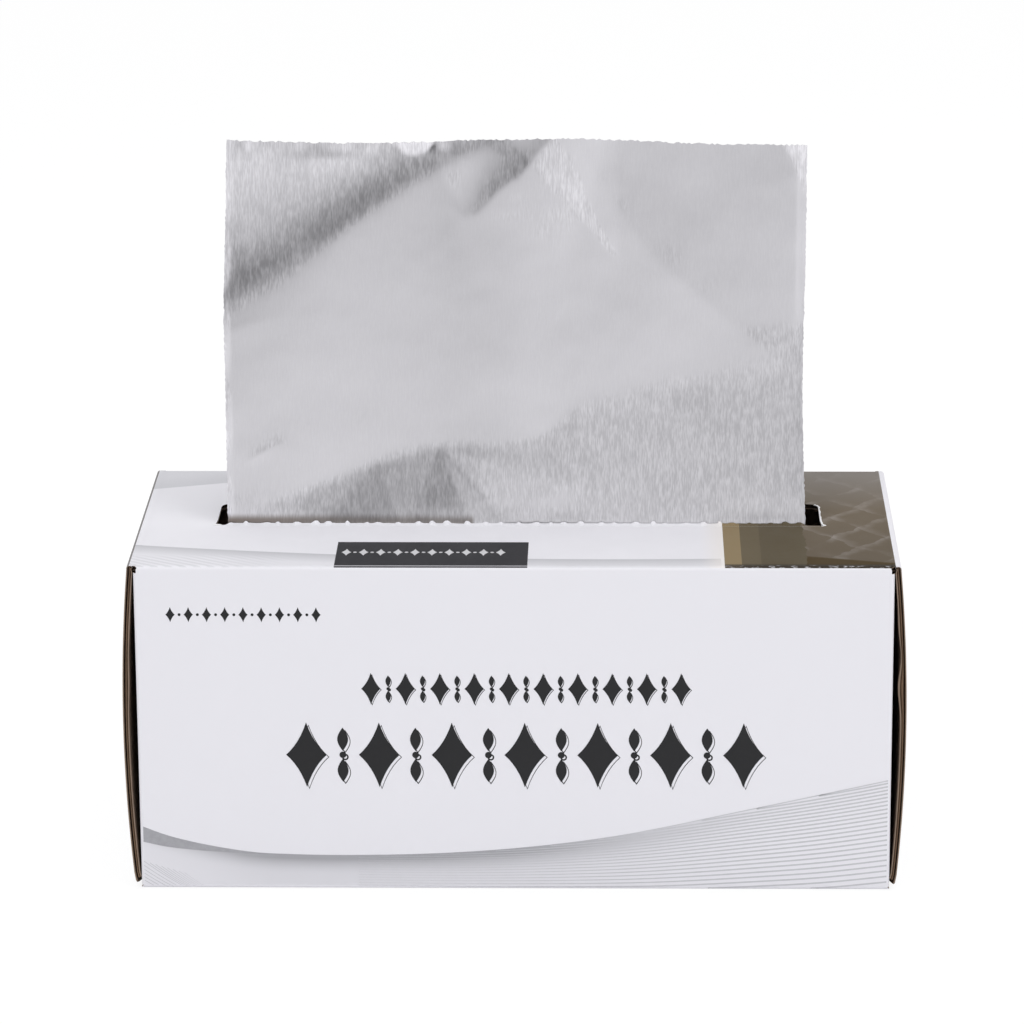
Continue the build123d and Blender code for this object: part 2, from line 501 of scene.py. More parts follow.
def kraft(name, colour, level=1.0):
    """Brown paper with long fibres and dark specks."""
    material, tree, shader = new_material(name)
    coordinates = object_coordinates(tree)
    fibre = noise(tree, coordinates, KRAFT_FIBRE, 6, stretch=(1, 1, 0.3), roughness=0.7)
    cloud = noise(tree, coordinates, KRAFT_CLOUD, 3)
    base = mix(tree, remap(tree, fibre, 0.3, 0.7), rgba(colour, 0.8 * level), rgba(colour, 1.2 * level))
    colour = mix(tree, remap(tree, cloud, 0.35, 0.65, 0, 0.35), base, rgba(colour, 0.85 * level))
    tree.links.new(colour, shader.inputs["Base Color"])
    tree.links.new(remap(tree, fibre, 0.3, 0.7, 0.78, 0.95), shader.inputs["Roughness"])
    shader.inputs["Specular IOR Level"].default_value = 0.2
    bump(tree, shader, fibre, 0.35, 0.06 * MM)
    return material


def tube_paper():
    """Brown paper wound in a spiral, with the seam of each strip."""
    material, tree, shader = new_material("tube_paper")
    coordinates, x, y, z = object_place(tree)
    across = minus(tree, y, ROLL_Y)
    up = minus(tree, z, ROLL_Z)
    angle = maths(tree, "DIVIDE", maths(tree, "ARCTAN2", across, up), 2 * pi)
    strip = maths(tree, "FRACT", plus(tree, maths(tree, "DIVIDE", x, TUBE_STRIP), angle))
    seam = remap(tree, maths(tree, "ABSOLUTE", minus(tree, strip, 0.5)), SEAM_FROM, 0.5)
    fibre = noise(tree, coordinates, TUBE_FIBRE, 6, stretch=(0.5, 1, 1), roughness=0.7)
    base = mix(tree, remap(tree, fibre, 0.3, 0.7), rgba(TUBE_PAPER, 0.82), rgba(TUBE_PAPER, 1.16))
    tree.links.new(mix(tree, seam, base, rgba(TUBE_PAPER, 0.45)), shader.inputs["Base Color"])
    tree.links.new(remap(tree, fibre, 0.3, 0.7, 0.72, 0.9), shader.inputs["Roughness"])
    bump(tree, shader, fibre, 0.3, 0.05 * MM)
    bump(tree, shader, seam, -0.8, 0.15 * MM)
    return material


# A faint yellowish mark near the sheet's right edge, and the painted reflection of the brown board in the
# sheet's foot
STAIN, STAIN_COLOUR = (60.5 * MM, 5.0 * MM, HEIGHT + 41 * MM), (0.60, 0.58, 0.36)
PAINTED_REFLECTION_BROWN = (0.20, 0.155, 0.125)

# Beyond a slanting line at the upper left the foil's rolling lines carry painted sheen all over: the line's
# height over the sheet's foot where x is 0, and how much it rises to the right
PAINTED_SHEEN_LINE, PAINTED_SHEEN_RISE = 82.5 * MM, 0.56

# Above the low crease the sheet has to bend this much further back before its rolling lines get painted
# sheen
SMOOTH_BEND = 0.028


def painted_sheen_share(tree):
    """How much painted sheen a place of the standing sheet gets: its rolling lines are painted with more
    contrast where it leans back or forward, and at the upper left.
    """
    normal = put(tree, "ShaderNodeTexCoord").outputs["Normal"]
    upward = maths(tree, "ABSOLUTE", put(tree, "ShaderNodeSeparateXYZ", {0: normal}).outputs[2])
    back = minus(tree, upward, sin(settings().foil.lean))
    _, x, _, z = object_place(tree)
    height = minus(tree, z, HEIGHT)
    smooth_back = remap(tree, height, 30 * MM, 44 * MM, 0.0, SMOOTH_BEND)
    back_share = remap(tree, minus(tree, back, smooth_back), 0.008, 0.036, smooth=True)
    forward_share = remap(tree, times(tree, back, -1), 0.026, 0.050, smooth=True)
    line = plus(tree, times(tree, x, PAINTED_SHEEN_RISE), PAINTED_SHEEN_LINE)
    corner_share = remap(tree, minus(tree, height, line), 0, 6 * MM, smooth=True)
    share = maths(tree, "MAXIMUM", maths(tree, "MAXIMUM", back_share, forward_share), corner_share)
    return times(tree, share, remap(tree, back, 0.10, 0.30, 1.0, 0.4))


def foil_finish(name, along, stain_and_painted_light=False):
    """Satin rolled foil. Its rolling lines run along one axis, given as the stretch of the noise."""
    foil = settings().foil
    material, tree, shader = new_material(name)
    coordinates, x, _, z = object_place(tree)
    line = noise(tree, coordinates, FOIL_LINE, 1.5, stretch=along, roughness=0.6)
    broad = noise(tree, coordinates, FOIL_BROAD, 2, stretch=along, roughness=0.5)
    cloud = noise(tree, coordinates, FOIL_CLOUD, 3)
    streak = plus(tree, times(tree, line, 0.7), times(tree, broad, 0.3))
    level = remap(tree, streak, 0.40, 0.64)
    colour = mix(tree, level, rgba(foil.dull), rgba(foil.bright))
    # On the standing sheet, stronger and lighter rolling lines are painted sheen that follows each place's
    # lean; on the winding they are a fixed share of plain texture
    streaks_and_painted_sheen = mix(tree, level, rgba(foil.dull, 0.88), rgba(foil.bright, 1.14))
    colour = mix(tree, painted_sheen_share(tree) if stain_and_painted_light else 0.3, colour, streaks_and_painted_sheen)
    colour = mix(tree, remap(tree, cloud, 0.35, 0.65, 0, 0.2), colour, rgba(foil.dull, 1.03))
    # Painted reflection of the brown board in the sheet's foot, and a faint stain near its right edge
    if stain_and_painted_light:
        low = remap(tree, z, HEIGHT + 2.3 * MM, HEIGHT + 0.6 * MM, smooth=True)
        left = remap(tree, x, -9.0 * MM, -9.8 * MM)
        deep = remap(tree, x, -30 * MM, -62 * MM, 0.62, 0.85)
        brown = times(tree, low, left, deep)
        colour = mix(tree, brown, colour, PAINTED_REFLECTION_BROWN)
        spot = put(tree, "ShaderNodeVectorMath", {0: coordinates, 1: STAIN}, operation="DISTANCE")
        mark = remap(tree, spot.outputs["Value"], 3.2 * MM, 0.8 * MM, 0, 0.16, smooth=True)
        colour = mix(tree, mark, colour, STAIN_COLOUR)
    tree.links.new(colour, shader.inputs["Base Color"])
    shader.inputs["Metallic"].default_value = 1.0
    tree.links.new(remap(tree, streak, 0.38, 0.62, 0.295, 0.375), shader.inputs["Roughness"])
    bump(tree, shader, streak, 0.07, 0.05 * MM)
    bump(tree, shader, noise(tree, coordinates, FOIL_DENT, 4), 0.06, 0.3 * MM)
    return material


def ink(name, colour, roughness=0.45, grain=0.06):
    """Flat offset ink with the paper's fibres in it."""
    material, tree, shader = new_material(name)
    coordinates = object_coordinates(tree)
    fibre = noise(tree, coordinates, INK_FIBRE, 4, roughness=0.7)
    colour = mix(tree, remap(tree, fibre, 0.35, 0.65), rgba(colour, 1 - grain), rgba(colour, 1 + grain))
    tree.links.new(colour, shader.inputs["Base Color"])
    gloss = remap(tree, fibre, 0.3, 0.7, roughness - 0.04, roughness + 0.06)
    tree.links.new(gloss, shader.inputs["Roughness"])
    shader.inputs["Specular IOR Level"].default_value = 0.25
    paper_grain(tree, shader, fibre)
    return material


# Board: outer liner, flutes and inner liner

LINER_SHARE = 0.17  # of the board's thickness
PAPER_SHARE = 0.06  # half the thickness of the fluted paper
RECESS = 0.35 * MM  # the flutes end this far inside a cut edge


class Station:
    """One cut through a board: its outer and inner face in the section plane, and how far it reaches."""

    def __init__(self, outer, inner, low, high):
        self.outer, self.inner = np.array(outer, float), np.array(inner, float)
        self.low, self.high = low, high


def share_grid(stations, place, columns, share, inset=0.0):
    """Points at a share of the board's thickness, one row for each station."""
    rows = []
    for i, station in enumerate(stations):
        reach = np.linspace(station.low + inset, station.high - inset, columns)
        depth = share(i, reach) if callable(share) else np.full(columns, share)
        section = station.outer + (station.inner - station.outer) * depth[:, None]
        rows.append([place(a, b, c) for (a, b), c in zip(section, reach)])
    return np.array(rows)


def board_strip(parts, stations, place, columns=8, wave_along=False, outside=0):
    """Adds the three layers of a board. Its waves follow the path, or else run across it."""
    pitch = settings().board.flute_pitch
    for start, end, faces in ((0, LINER_SHARE, (outside, 1, 1)), (1 - LINER_SHARE, 1, (1, 1, 1))):
        front = share_grid(stations, place, columns, start)
        back = share_grid(stations, place, columns, end)
        parts.shell(front, back, faces)
    swing = 0.5 - LINER_SHARE - PAPER_SHARE
    middle = np.array([(s.outer + s.inner) / 2 for s in stations])
    run = np.concatenate([[0], np.cumsum(np.linalg.norm(np.diff(middle, axis=0), axis=1))])
    if wave_along:
        places = np.arange(0.4 * pitch, run[-1] - RECESS, pitch / 8)
        index = np.clip(np.searchsorted(run, places) - 1, 0, len(run) - 2)
        inner = []
        for place_along, i in zip(places, index):
            share = (place_along - run[i]) / (run[i + 1] - run[i])
            a, b = stations[i], stations[i + 1]
            inner.append(
                Station(
                    a.outer + (b.outer - a.outer) * share,
                    a.inner + (b.inner - a.inner) * share,
                    a.low + (b.low - a.low) * share,
                    a.high + (b.high - a.high) * share,
                )
            )
        count = 2

        def centre(i, reach):
            return np.full(len(reach), 0.5 + swing * sin(2 * pi * places[i] / pitch))
    else:
        keep = [i for i in range(len(run)) if RECESS <= run[i] <= run[-1] - RECESS]
        inner = [stations[i] for i in keep]
        widest = max(s.high - s.low for s in stations)
        count = int(8 * widest / pitch) + 1

        def centre(_, reach):
            return 0.5 + swing * np.sin(2 * pi * reach / pitch)

    front = share_grid(inner, place, count, lambda i, reach: centre(i, reach) - PAPER_SHARE, RECESS)
    back = share_grid(inner, place, count, lambda i, reach: centre(i, reach) + PAPER_SHARE, RECESS)
    parts.shell(front, back, (2, 2, 2))


def straight(stations, start, end, step, low, high):
    """Adds stations along a straight run. Start and end are (outer, inner)."""
    length = np.linalg.norm(np.array(end[0]) - np.array(start[0]))
    for share in steps(0, 1, step / length)[1:]:
        outer = np.array(start[0]) + (np.array(end[0]) - np.array(start[0])) * share
        inner = np.array(start[1]) + (np.array(end[1]) - np.array(start[1])) * share
        stations.append(Station(outer, inner, low, high))


def on_sleeve(a, b, c):
    """Section plane of the sleeve: a is depth, b is height and c is along the carton."""
    return (c, a, b)


def sleeve_stations():
    """The sleeve from the top's front edge, down the front, along the bottom and up the back."""
    board = settings().board
    t, fold, tight = board.thickness, board.fold_radius, 0.1 * MM
    short = HALF_LENGTH - board.end_radius
    corners = ((-1, 1, pi / 2), (-1, -1, pi), (1, -1, 1.5 * pi), (1, 1, 2 * pi))
    stations = []
    previous = None
    for number, (side, up, start_angle) in enumerate(corners):
        centre = np.array([side * (HALF_DEPTH - fold), HEIGHT / 2 + up * (HEIGHT / 2 - fold)])
        inner_centre = np.array(
            [side * (HALF_DEPTH - t - tight), HEIGHT / 2 + up * (HEIGHT / 2 - t - tight)]
        )
        turned = []
        for share in np.linspace(0, 1, 9):
            angle = start_angle + share * pi / 2
            way = np.array([cos(angle), sin(angle)])
            upright = share if number in (0, 2) else 1 - share
            notch = 0.2 * MM * sin(pi * min(1.0, upright * 1.2)) if upright > 0.2 and up > 0 else 0
            low, high = (0.1, 0.6) if up > 0 else (0.6, 1.0)
            reach = HALF_LENGTH - (HALF_LENGTH - short) * float(smooth_step(upright, low, high)) - notch
            turned.append(Station(centre + way * fold, inner_centre + way * tight, -reach, reach))
        if previous is not None:
            reach = short if number in (1, 3) else HALF_LENGTH
            straight(
                stations, (previous.outer, previous.inner), (turned[0].outer, turned[0].inner),
                2 * MM, -reach, reach,
            )
            turned = turned[1:]
        stations += turned
        previous = stations[-1]
    return stations


def slot_ends(grow=0.0):
    """Where the slot ends at the left and at the right."""
    slot = settings().slot
    return slot.shift - slot.length / 2 - grow, slot.shift + slot.length / 2 + grow


def tie_places(left, right):
    """Even places of the torn ties along the front lip."""
    return np.arange(left + 3 * MM, right - 2 * MM, settings().slot.tie_pitch)


def slot_outline(grow=0.0, ties=0.0):
    """The slot's edge. Grow widens it, and ties is how far the torn ties stand into it."""
    slot = settings().slot
    left, right = slot_ends(grow)
    front, back = slot.front - grow, slot.front + slot.width + grow
    chance = np.random.default_rng(TIE_SEED)
    wander = 0.08 * MM
    points = [(left, front), (left + 1.2 * MM, front + 0.1 * MM)]
    for middle in tie_places(left, right):
        middle += chance.uniform(-0.7, 0.7) * MM
        half = chance.uniform(0.5, 1.1) * MM
        tall = ties * chance.uniform(0.3, 1.0)
        lean = chance.uniform(-0.3, 0.3) * half
        points += [
            (middle - half, front + wander * chance.uniform(-1, 1)),
            (middle + lean - 0.25 * half, front + tall),
            (middle + lean + 0.2 * half, front + 0.8 * tall),
            (middle + half, front + wander * chance.uniform(-1, 1)),
        ]
    points += [(right, front), (right + 0.9 * MM, front + 0.5 * MM), (right + 0.2 * MM, front + 1.5 * MM)]
    radius = slot.corner
    points.append((right, front + 4 * MM))
    for middle, start in ((right - radius, 0), (left + radius, pi / 2)):
        for angle in np.linspace(start, start + pi / 2, 8):
            points.append((middle + radius * cos(angle), back - radius + radius * sin(angle)))
    points += [(left, front + 4 * MM), (left - 0.15 * MM, front + 1.8 * MM)]
    points.append((left - 0.8 * MM, front + 0.7 * MM))
    return points


def on_top(a, b, c):
    """The top panel: a is along the carton, b is depth and c is height."""
    return (a, b, c)


def top_panel(parts):
    """The top panel with its torn slot: two liners and the flutes round the slot."""
    board, slot = settings().board, settings().slot
    t, fold = board.thickness, board.fold_radius
    liner = LINER_SHARE * t
    outer_y, inner_y = HALF_DEPTH - fold, HALF_DEPTH - t - 0.1 * MM
    ties = 0.85 * MM

    def rectangle(half_y):
        corners = ((-1, -1), (1, -1), (1, 1), (-1, 1))
        return [(side * HALF_LENGTH, way * half_y) for side, way in corners]

    # The cut walls round the slot use kraft darkened nearly to black: painted shade inside the slot
    parts.prism([rectangle(outer_y), slot_outline(0, ties)], on_top, HEIGHT, HEIGHT - liner, (3, 1, 4))
    inner_hole = slot_outline(0.12 * MM, 0.45 * ties)
    parts.prism([rectangle(inner_y), inner_hole], on_top, HEIGHT - t + liner, HEIGHT - t, (1, 1, 4))

    # Flutes in front of the slot, behind it, and beside it, in kraft darkened nearly to black as painted
    # shade
    left, right = slot_ends()
    front, back = slot.front, slot.front + slot.width
    patches = (
        (-HALF_LENGTH, HALF_LENGTH, -outer_y, front),
        (-HALF_LENGTH, HALF_LENGTH, back, outer_y),
        (-HALF_LENGTH, left, front, back),
        (right, HALF_LENGTH, front, back),
    )
    swing = 0.5 - LINER_SHARE - PAPER_SHARE
    for low_x, high_x, low_y, high_y in patches:
        ys = np.arange(low_y + RECESS, high_y - RECESS, board.flute_pitch / 8)
        xs = np.array([low_x + RECESS, high_x - RECESS])
        grids = []
        for side in (-1, 1):
            depth = 0.5 + swing * np.sin(2 * pi * ys / board.flute_pitch) + side * PAPER_SHARE
            zs = HEIGHT - t * depth
            grids.append(np.array([[(x, y, z) for x in xs] for y, z in zip(ys, zs)]))
        parts.shell(grids[0], grids[1], (4, 4, 4))


def dust_flap(parts, end, side):
    """One dust flap: the fold round the panel's end, then the flap behind the closing flap."""
    board = settings().board
    t, radius, tight = board.thickness, board.end_radius, 0.1 * MM
    tip, low, high, taper = 7.8 * MM, 3.95 * MM, 70.3 * MM, 5 * MM
    fold_low, fold_high = 0.75 * MM, HEIGHT - 1.5 * MM
    centre = np.array([HALF_LENGTH - radius, HALF_DEPTH - radius])
    inner_centre = np.array([HALF_LENGTH - t - tight, HALF_DEPTH - t - tight])
    stations = []
    for share in np.linspace(0, 1, 7):
        way = np.array([sin(share * pi / 2), cos(share * pi / 2)])
        stations.append(Station(centre + way * radius, inner_centre + way * tight, fold_low, fold_high))
    shoulder = HALF_DEPTH - t - 0.8 * MM
    inner_x = HALF_LENGTH - t
    stations.append(
        Station((HALF_LENGTH, shoulder), (inner_x, shoulder), fold_low + 0.4 * MM, fold_high - 0.4 * MM)
    )
    for y in steps(shoulder - 0.3 * MM, tip, 2.5 * MM):
        share = (shoulder - y) / (shoulder - tip)
        stations.append(
            Station((HALF_LENGTH, y), (inner_x, y), low + taper * share, high - taper * share)
        )

    def place(a, b, c):
        return (end * a, side * b, c)

    board_strip(parts, stations, place, columns=14)


def glue_strip(parts):
    """The glued strip inside the back panel."""
    board = settings().board
    t = board.thickness
    y, low, tall, half = HALF_DEPTH - t, t, 13 * MM, 76.15 * MM
    stations = [Station((y, low), (y - t, low), -half, half)]
    straight(stations, ((y, low), (y - t, low)), ((y, low + tall), (y - t, low + tall)), 2 * MM, -half, half)
    board_strip(parts, stations, on_sleeve, columns=6, wave_along=True)


def torn_lip():
    """The torn liner along the front lip: it curls up against the sheet in uneven teeth."""
    slot, foil = settings().slot, settings().foil
    left, right = slot_ends()
    chance = np.random.default_rng(LIP_SEED)
    xs = steps(left + 0.3 * MM, right - 0.3 * MM, 0.22 * MM)
    tooth = np.zeros(len(xs))
    for middle in tie_places(left, right):
        middle += chance.uniform(-0.8, 0.8) * MM
        half = chance.uniform(0.45, 1.0) * MM
        tall = chance.uniform(0.25, 1.0)
        skew = chance.uniform(-0.4, 0.4)
        off = (xs - middle) / half
        shape = np.clip(1 - np.abs(off - skew) / np.where(off < skew, 1 + skew, 1 - skew), 0, 1)
        tooth = np.maximum(tooth, tall * np.minimum(1, shape * 1.6))
    ragged = blur(chance.normal(size=(1, len(xs))), 1.2)[0]
    tooth = np.clip(tooth + 0.10 * ragged / np.abs(ragged).max(), -0.05, 1)
    behind = smooth_step(foil.width / 2 - np.abs(xs), -0.5 * MM, 1.0 * MM)
    rows = []
    for share in np.linspace(0, 1, 6):
        ys = slot.front + (-0.3 + share * (0.5 + 1.05 * behind)) * MM
        curl = share**2 * (0.05 + 0.62 * tooth) * (0.3 + 0.7 * behind)
        zs = HEIGHT + (0.015 + 0.12 * share * behind + curl) * MM
        rows.append(np.stack([xs, ys, zs], axis=-1))
    top = np.array(rows)
    under = top - np.array([0, 0, 0.1 * MM])
    return top, under


def torn_rim():
    """A narrow torn edge of white paper round the right end of the slot."""
    outline = np.array(slot_outline(0.05 * MM, 0))
    line = outline[outline[:, 0] > slot_ends()[1] - 1.2 * MM]
    line = line[np.argsort(line[:, 1])]
    chance = np.random.default_rng(RIM_SEED)
    count = 60
    places = np.linspace(0, len(line) - 1, count)
    points = np.stack([np.interp(places, np.arange(len(line)), line[:, i]) for i in (0, 1)], axis=-1)
    ways = np.gradient(points, axis=0)
    ways /= np.linalg.norm(ways, axis=1, keepdims=True) + 1e-9
    out = np.stack([ways[:, 1], -ways[:, 0]], axis=-1)
    wide = (0.12 + 0.22 * chance.uniform(0, 1, count))[:, None] * MM
    rows = []
    for near, far in ((-0.15 * MM, 0.0), (0.0, 1.0)):
        edge = points + out * (near + far * wide)
        rows.append(np.column_stack([edge, np.full(count, HEIGHT + 0.03 * MM)]))
    top = np.array(rows)
    return top, top - np.array([0, 0, 0.12 * MM])


def torn_scrap():
    """The small white scrap of paper at the slot's left end."""
    left, front = slot_ends()[0], settings().slot.front
    outline = ((-0.9, 0.2), (-0.2, -0.15), (1.3, 0.1), (0.9, 0.55), (0.1, 0.75), (-0.3, 1.2), (-0.7, 0.8))
    return [(left + a * MM, front + b * MM) for a, b in outline]


def torn_white():
    """The fibrous white edge of torn paper."""
    material, tree, shader = new_material("torn_white")
    coordinates = object_coordinates(tree)
    fibre = noise(tree, coordinates, TORN_FIBRE, 4, roughness=0.7)
    grey, pale = (0.70, 0.69, 0.70), (0.88, 0.88, 0.90)
    colour = mix(tree, remap(tree, fibre, 0.3, 0.7), grey, pale)
    tree.links.new(colour, shader.inputs["Base Color"])
    tree.links.new(remap(tree, fibre, 0.3, 0.7, 0.8, 0.95), shader.inputs["Roughness"])
    bump(tree, shader, fibre, 0.3, 0.05 * MM)
    return material


def board_materials():
    """Materials of the board, in the order that the layers use."""
    board = settings().board
    return [
        coated_white(),
        kraft("kraft_liner", board.kraft),
        kraft("kraft_flutes", board.flute),
        top_print(),
        # Flute paper darkened nearly to black: painted shade for the slot's cut edges and the flutes round
        # it
        kraft("kraft_painted_slot_shade", board.flute, 0.2),
    ]


class MESH_OT_foil_roll_carton(bpy.types.Operator):
    """Build the carton's sleeve, its slot, glue strip and dust flaps"""

    bl_idname = "mesh.foil_roll_carton"
    bl_label = "Carton"
    bl_options = {"REGISTER", "UNDO"}

    def execute(self, context):
        materials = board_materials()
        sleeve = Parts()
        board_strip(sleeve, sleeve_stations(), on_sleeve, columns=30, wave_along=True, outside=3)
        glue_strip(sleeve)
        piece = sleeve.build("carton_sleeve", materials, "box", "printed_board")
        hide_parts("carton")
        top = Parts()
        top_panel(top)
        piece = top.build("carton_top", materials, "box", "printed_board", sharp=radians(30))
        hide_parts("carton")
        lip = Parts()
        lip.shell(*torn_lip(), (0, 0, 1))
        lip.shell(*torn_rim(), (1, 1, 1))
        lip.prism([torn_scrap()], on_top, HEIGHT + 0.09 * MM, HEIGHT - 0.02 * MM, (1, 1, 1))
        lip.build("torn_slot_edge", [materials[3], torn_white()], "box", "printed_board")
        for end, end_name in ((-1, "left"), (1, "right")):
            for side, side_name in ((-1, "front"), (1, "back")):
                flap = Parts()
                dust_flap(flap, end, side)
                name = f"dust_flap_{end_name}_{side_name}"
                piece = flap.build(name, materials, "box", "printed_board")
                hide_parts("carton")
        return {"FINISHED"}


# The fold at a closing flap's foot, in millimetres: how far its outside stands out of the hinge line and
# over the flap's foot, how far its inside lies in and over the floor, and the share of the tab's narrowing
FOOT_FOLD = (
    (0.55, 1.05, 0.72, 2.62, 0.0),
    (0.38, 0.30, 0.80, 2.60, 0.3),
    (0.05, 0.02, 0.95, 2.70, 0.7),
    (-0.35, 0.10, 1.15, 2.84, 1.0),
    (-0.62, 0.45, 1.35, 2.90, 1.0),
)
BOW_RADIUS = 190 * MM  # of a closing flap's bowed outside


def end_flap_stations():
    """A closing flap from its hinge, down its bowed panel and in along its tuck tab."""
    board = settings().board
    t = board.thickness
    half = t / 2
    hinge = HINGES["flap_right"]
    hinge_x, hinge_z = hinge.x, hinge.z
    foot_z = FLAP_FOOT + half
    bow = FLAP_OUT - half - hinge_x
    chord = hinge_z - foot_z
    arc = chord**2 / (8 * bow) + bow / 2
    arc_x, arc_z = hinge_x + bow - arc, (hinge_z + foot_z) / 2
    reach = FLAP_HALF_DEPTH
    stations = []

    # Round the hinge crease
    for angle in np.linspace(radians(160), radians(10), 10):
        way = np.array([cos(angle), sin(angle)])
        outer = np.array([hinge_x, hinge_z]) + way * half
        inner = np.array([hinge_x - 0.45 * MM, hinge_z - 0.1 * MM]) + way * 0.12 * MM
        stations.append(Station(outer, inner, -reach, reach))

    # The bowed panel
    top_angle = np.arcsin((hinge_z - arc_z) / arc)
    low_angle = np.arcsin((foot_z + 2.2 * MM - arc_z) / arc)
    for angle in steps(top_angle - 0.002, low_angle, 1.6 * MM / arc):
        way = np.array([cos(angle), sin(angle)])
        spine = np.array([arc_x, arc_z]) + way * arc
        stations.append(Station(spine + way * half, spine - way * half, -reach, reach))

    # The fold at the foot, and the tuck tab above the bottom panel, which narrows round its corners
    rise = radians(7)
    tab_start = np.array([hinge_x, t + 0.15 * MM])
    tab_in = np.array([-cos(rise), sin(rise)])
    tab_up = np.array([sin(rise), cos(rise)])
    tab_reach = HALF_DEPTH - t - 2 * MM
    for out, lift, inward, up, narrow in FOOT_FOLD:
        outer = (hinge_x + out * MM, FLAP_FOOT + lift * MM)
        inner = (hinge_x - inward * MM, up * MM)
        width = reach + (tab_reach - reach) * narrow
        stations.append(Station(outer, inner, -width, width))
    length, corner = 14.5 * MM, 8 * MM
    rounded = [length - corner * (1 - share) for share in (0.3, 0.5, 0.7, 0.85, 0.95, 1.0)]
    for along in [*steps(1.6 * MM, length - corner, 1.6 * MM), *rounded]:
        over = max(0.0, along - (length - corner))
        width = tab_reach - (corner - sqrt(max(0.0, corner**2 - over**2)))
        outer = tab_start + tab_in * along
        stations.append(Station(outer, outer + tab_up * t, -width, width))
    return stations


def end_flap(parts, end):
    """One closing flap. The right one is a little crushed near the top of its front edge."""
    chance = np.random.default_rng(FLAP_SEEDS[end])
    waves = [(chance.uniform(0.16, 0.5), chance.uniform(0, 2 * pi)) for _ in range(3)]
    crush = 0.75 * MM if end > 0 else 0.2 * MM
    board = settings().board

    def place(a, b, c):
        edge = np.exp(-((c + FLAP_HALF_DEPTH) / (5 * MM)) ** 2)
        high = np.exp(-(((b - 55 * MM) / (13 * MM)) ** 2))
        meander = 0.4 - sum(sin(b / MM * speed + phase) for speed, phase in waves) / 2
        outside = FLAP_OUT - (b - HEIGHT / 2) ** 2 / (2 * BOW_RADIUS)
        inward = min(1.0, max(0.0, (outside - a) / board.thickness))
        return (end * (a - crush * edge * high * meander * inward**2), c, b)

    board_strip(parts, end_flap_stations(), place, columns=26)


def hinge_liner(end, body):
    """The white liner that runs over the crease from the top panel to a closing flap."""
    hinge = HINGES[body]
    half = settings().board.thickness / 2
    lift, thick = 0.03 * MM, 0.05 * MM
    front, back = [], []
    path = [(-1.3 * MM, half + lift), (-0.9 * MM, half + lift), (-0.5 * MM, half + lift)]
    path += [((half + lift) * cos(a), (half + lift) * sin(a)) for a in np.linspace(pi / 2, 0, 8)]
    path += [(half + lift, -0.5 * MM), (half + 1.6 * lift, -1.0 * MM)]
    ys = steps(-FLAP_HALF_DEPTH, FLAP_HALF_DEPTH, 3 * MM)
    for out, up in path:
        inside = 1 - thick / sqrt(out**2 + up**2)
        front.append([(hinge.x + end * out, y, hinge.z + up) for y in ys])
        back.append([(hinge.x + end * out * inside, y, hinge.z + up * inside) for y in ys])
    parts = Parts()
    parts.shell(np.array(front), np.array(back))
    return parts, hinge


class MESH_OT_foil_roll_end_flaps(bpy.types.Operator):
    """Build the two closing flaps and the liner over their creases"""

    bl_idname = "mesh.foil_roll_end_flaps"
    bl_label = "Closing flaps"
    bl_options = {"REGISTER", "UNDO"}

    def execute(self, context):
        materials = board_materials()
        for end, name in ((-1, "left"), (1, "right")):
            flap = Parts()
            end_flap(flap, end)
            piece = flap.build(f"closing_flap_{name}", materials, f"flap_{name}", "printed_board")
            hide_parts(f"end_flap_{name}")
            parts, hinge = hinge_liner(end, f"flap_{name}")
            crease = parts.build(f"crease_liner_{name}", [materials[3]], None, "printed_board")
            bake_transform(crease)
        return {"FINISHED"}


# Foil


class SheetPath:
    """The sheet's run from the roll, round the bend under the slot and up to its torn edge."""

    def __init__(self):
        foil, slot, board = settings().foil, settings().slot, settings().board
        self.up = np.array([sin(foil.lean), cos(foil.lean)])
        bend = np.array([slot.front + 1.35 * MM, HEIGHT - board.thickness - 0.8 * MM])
        self.foot = bend + self.up * (HEIGHT - bend[1]) / self.up[1]
        self.front = np.array([-self.up[1], self.up[0]])
        centre = np.array([ROLL_Y, ROLL_Z])
        radius = ROLL_RADIUS + 0.04 * MM
        to_centre = centre - bend
        away = np.linalg.norm(to_centre)
        tangent = atan2(to_centre[1], to_centre[0]) - np.arcsin(radius / away)
        run_up = -np.array([cos(tangent), sin(tangent)])
        run_front = np.array([-run_up[1], run_up[0]])
        leave = centre + run_front * radius
        leave_angle = atan2(run_front[1], run_front[0])
        points = []
        for turn in np.linspace(radians(-35), 0, 12):
            angle = leave_angle - turn
            points.append(centre + radius * np.array([cos(angle), sin(angle)]))
        points = points[:-1]
        straight_length = np.linalg.norm(bend - leave)
        round_length = 4 * MM
        points += [leave + run_up * s for s in steps(0, straight_length - round_length, 1.5 * MM)]
        start = points[-1]
        end = bend + self.up * (self.foot - bend) @ self.up * 0.98
        for share in np.linspace(0, 1, 8)[1:]:
            points.append(start * (1 - share) ** 2 + bend * 2 * share * (1 - share) + end * share**2)
        self.run = np.array(points)


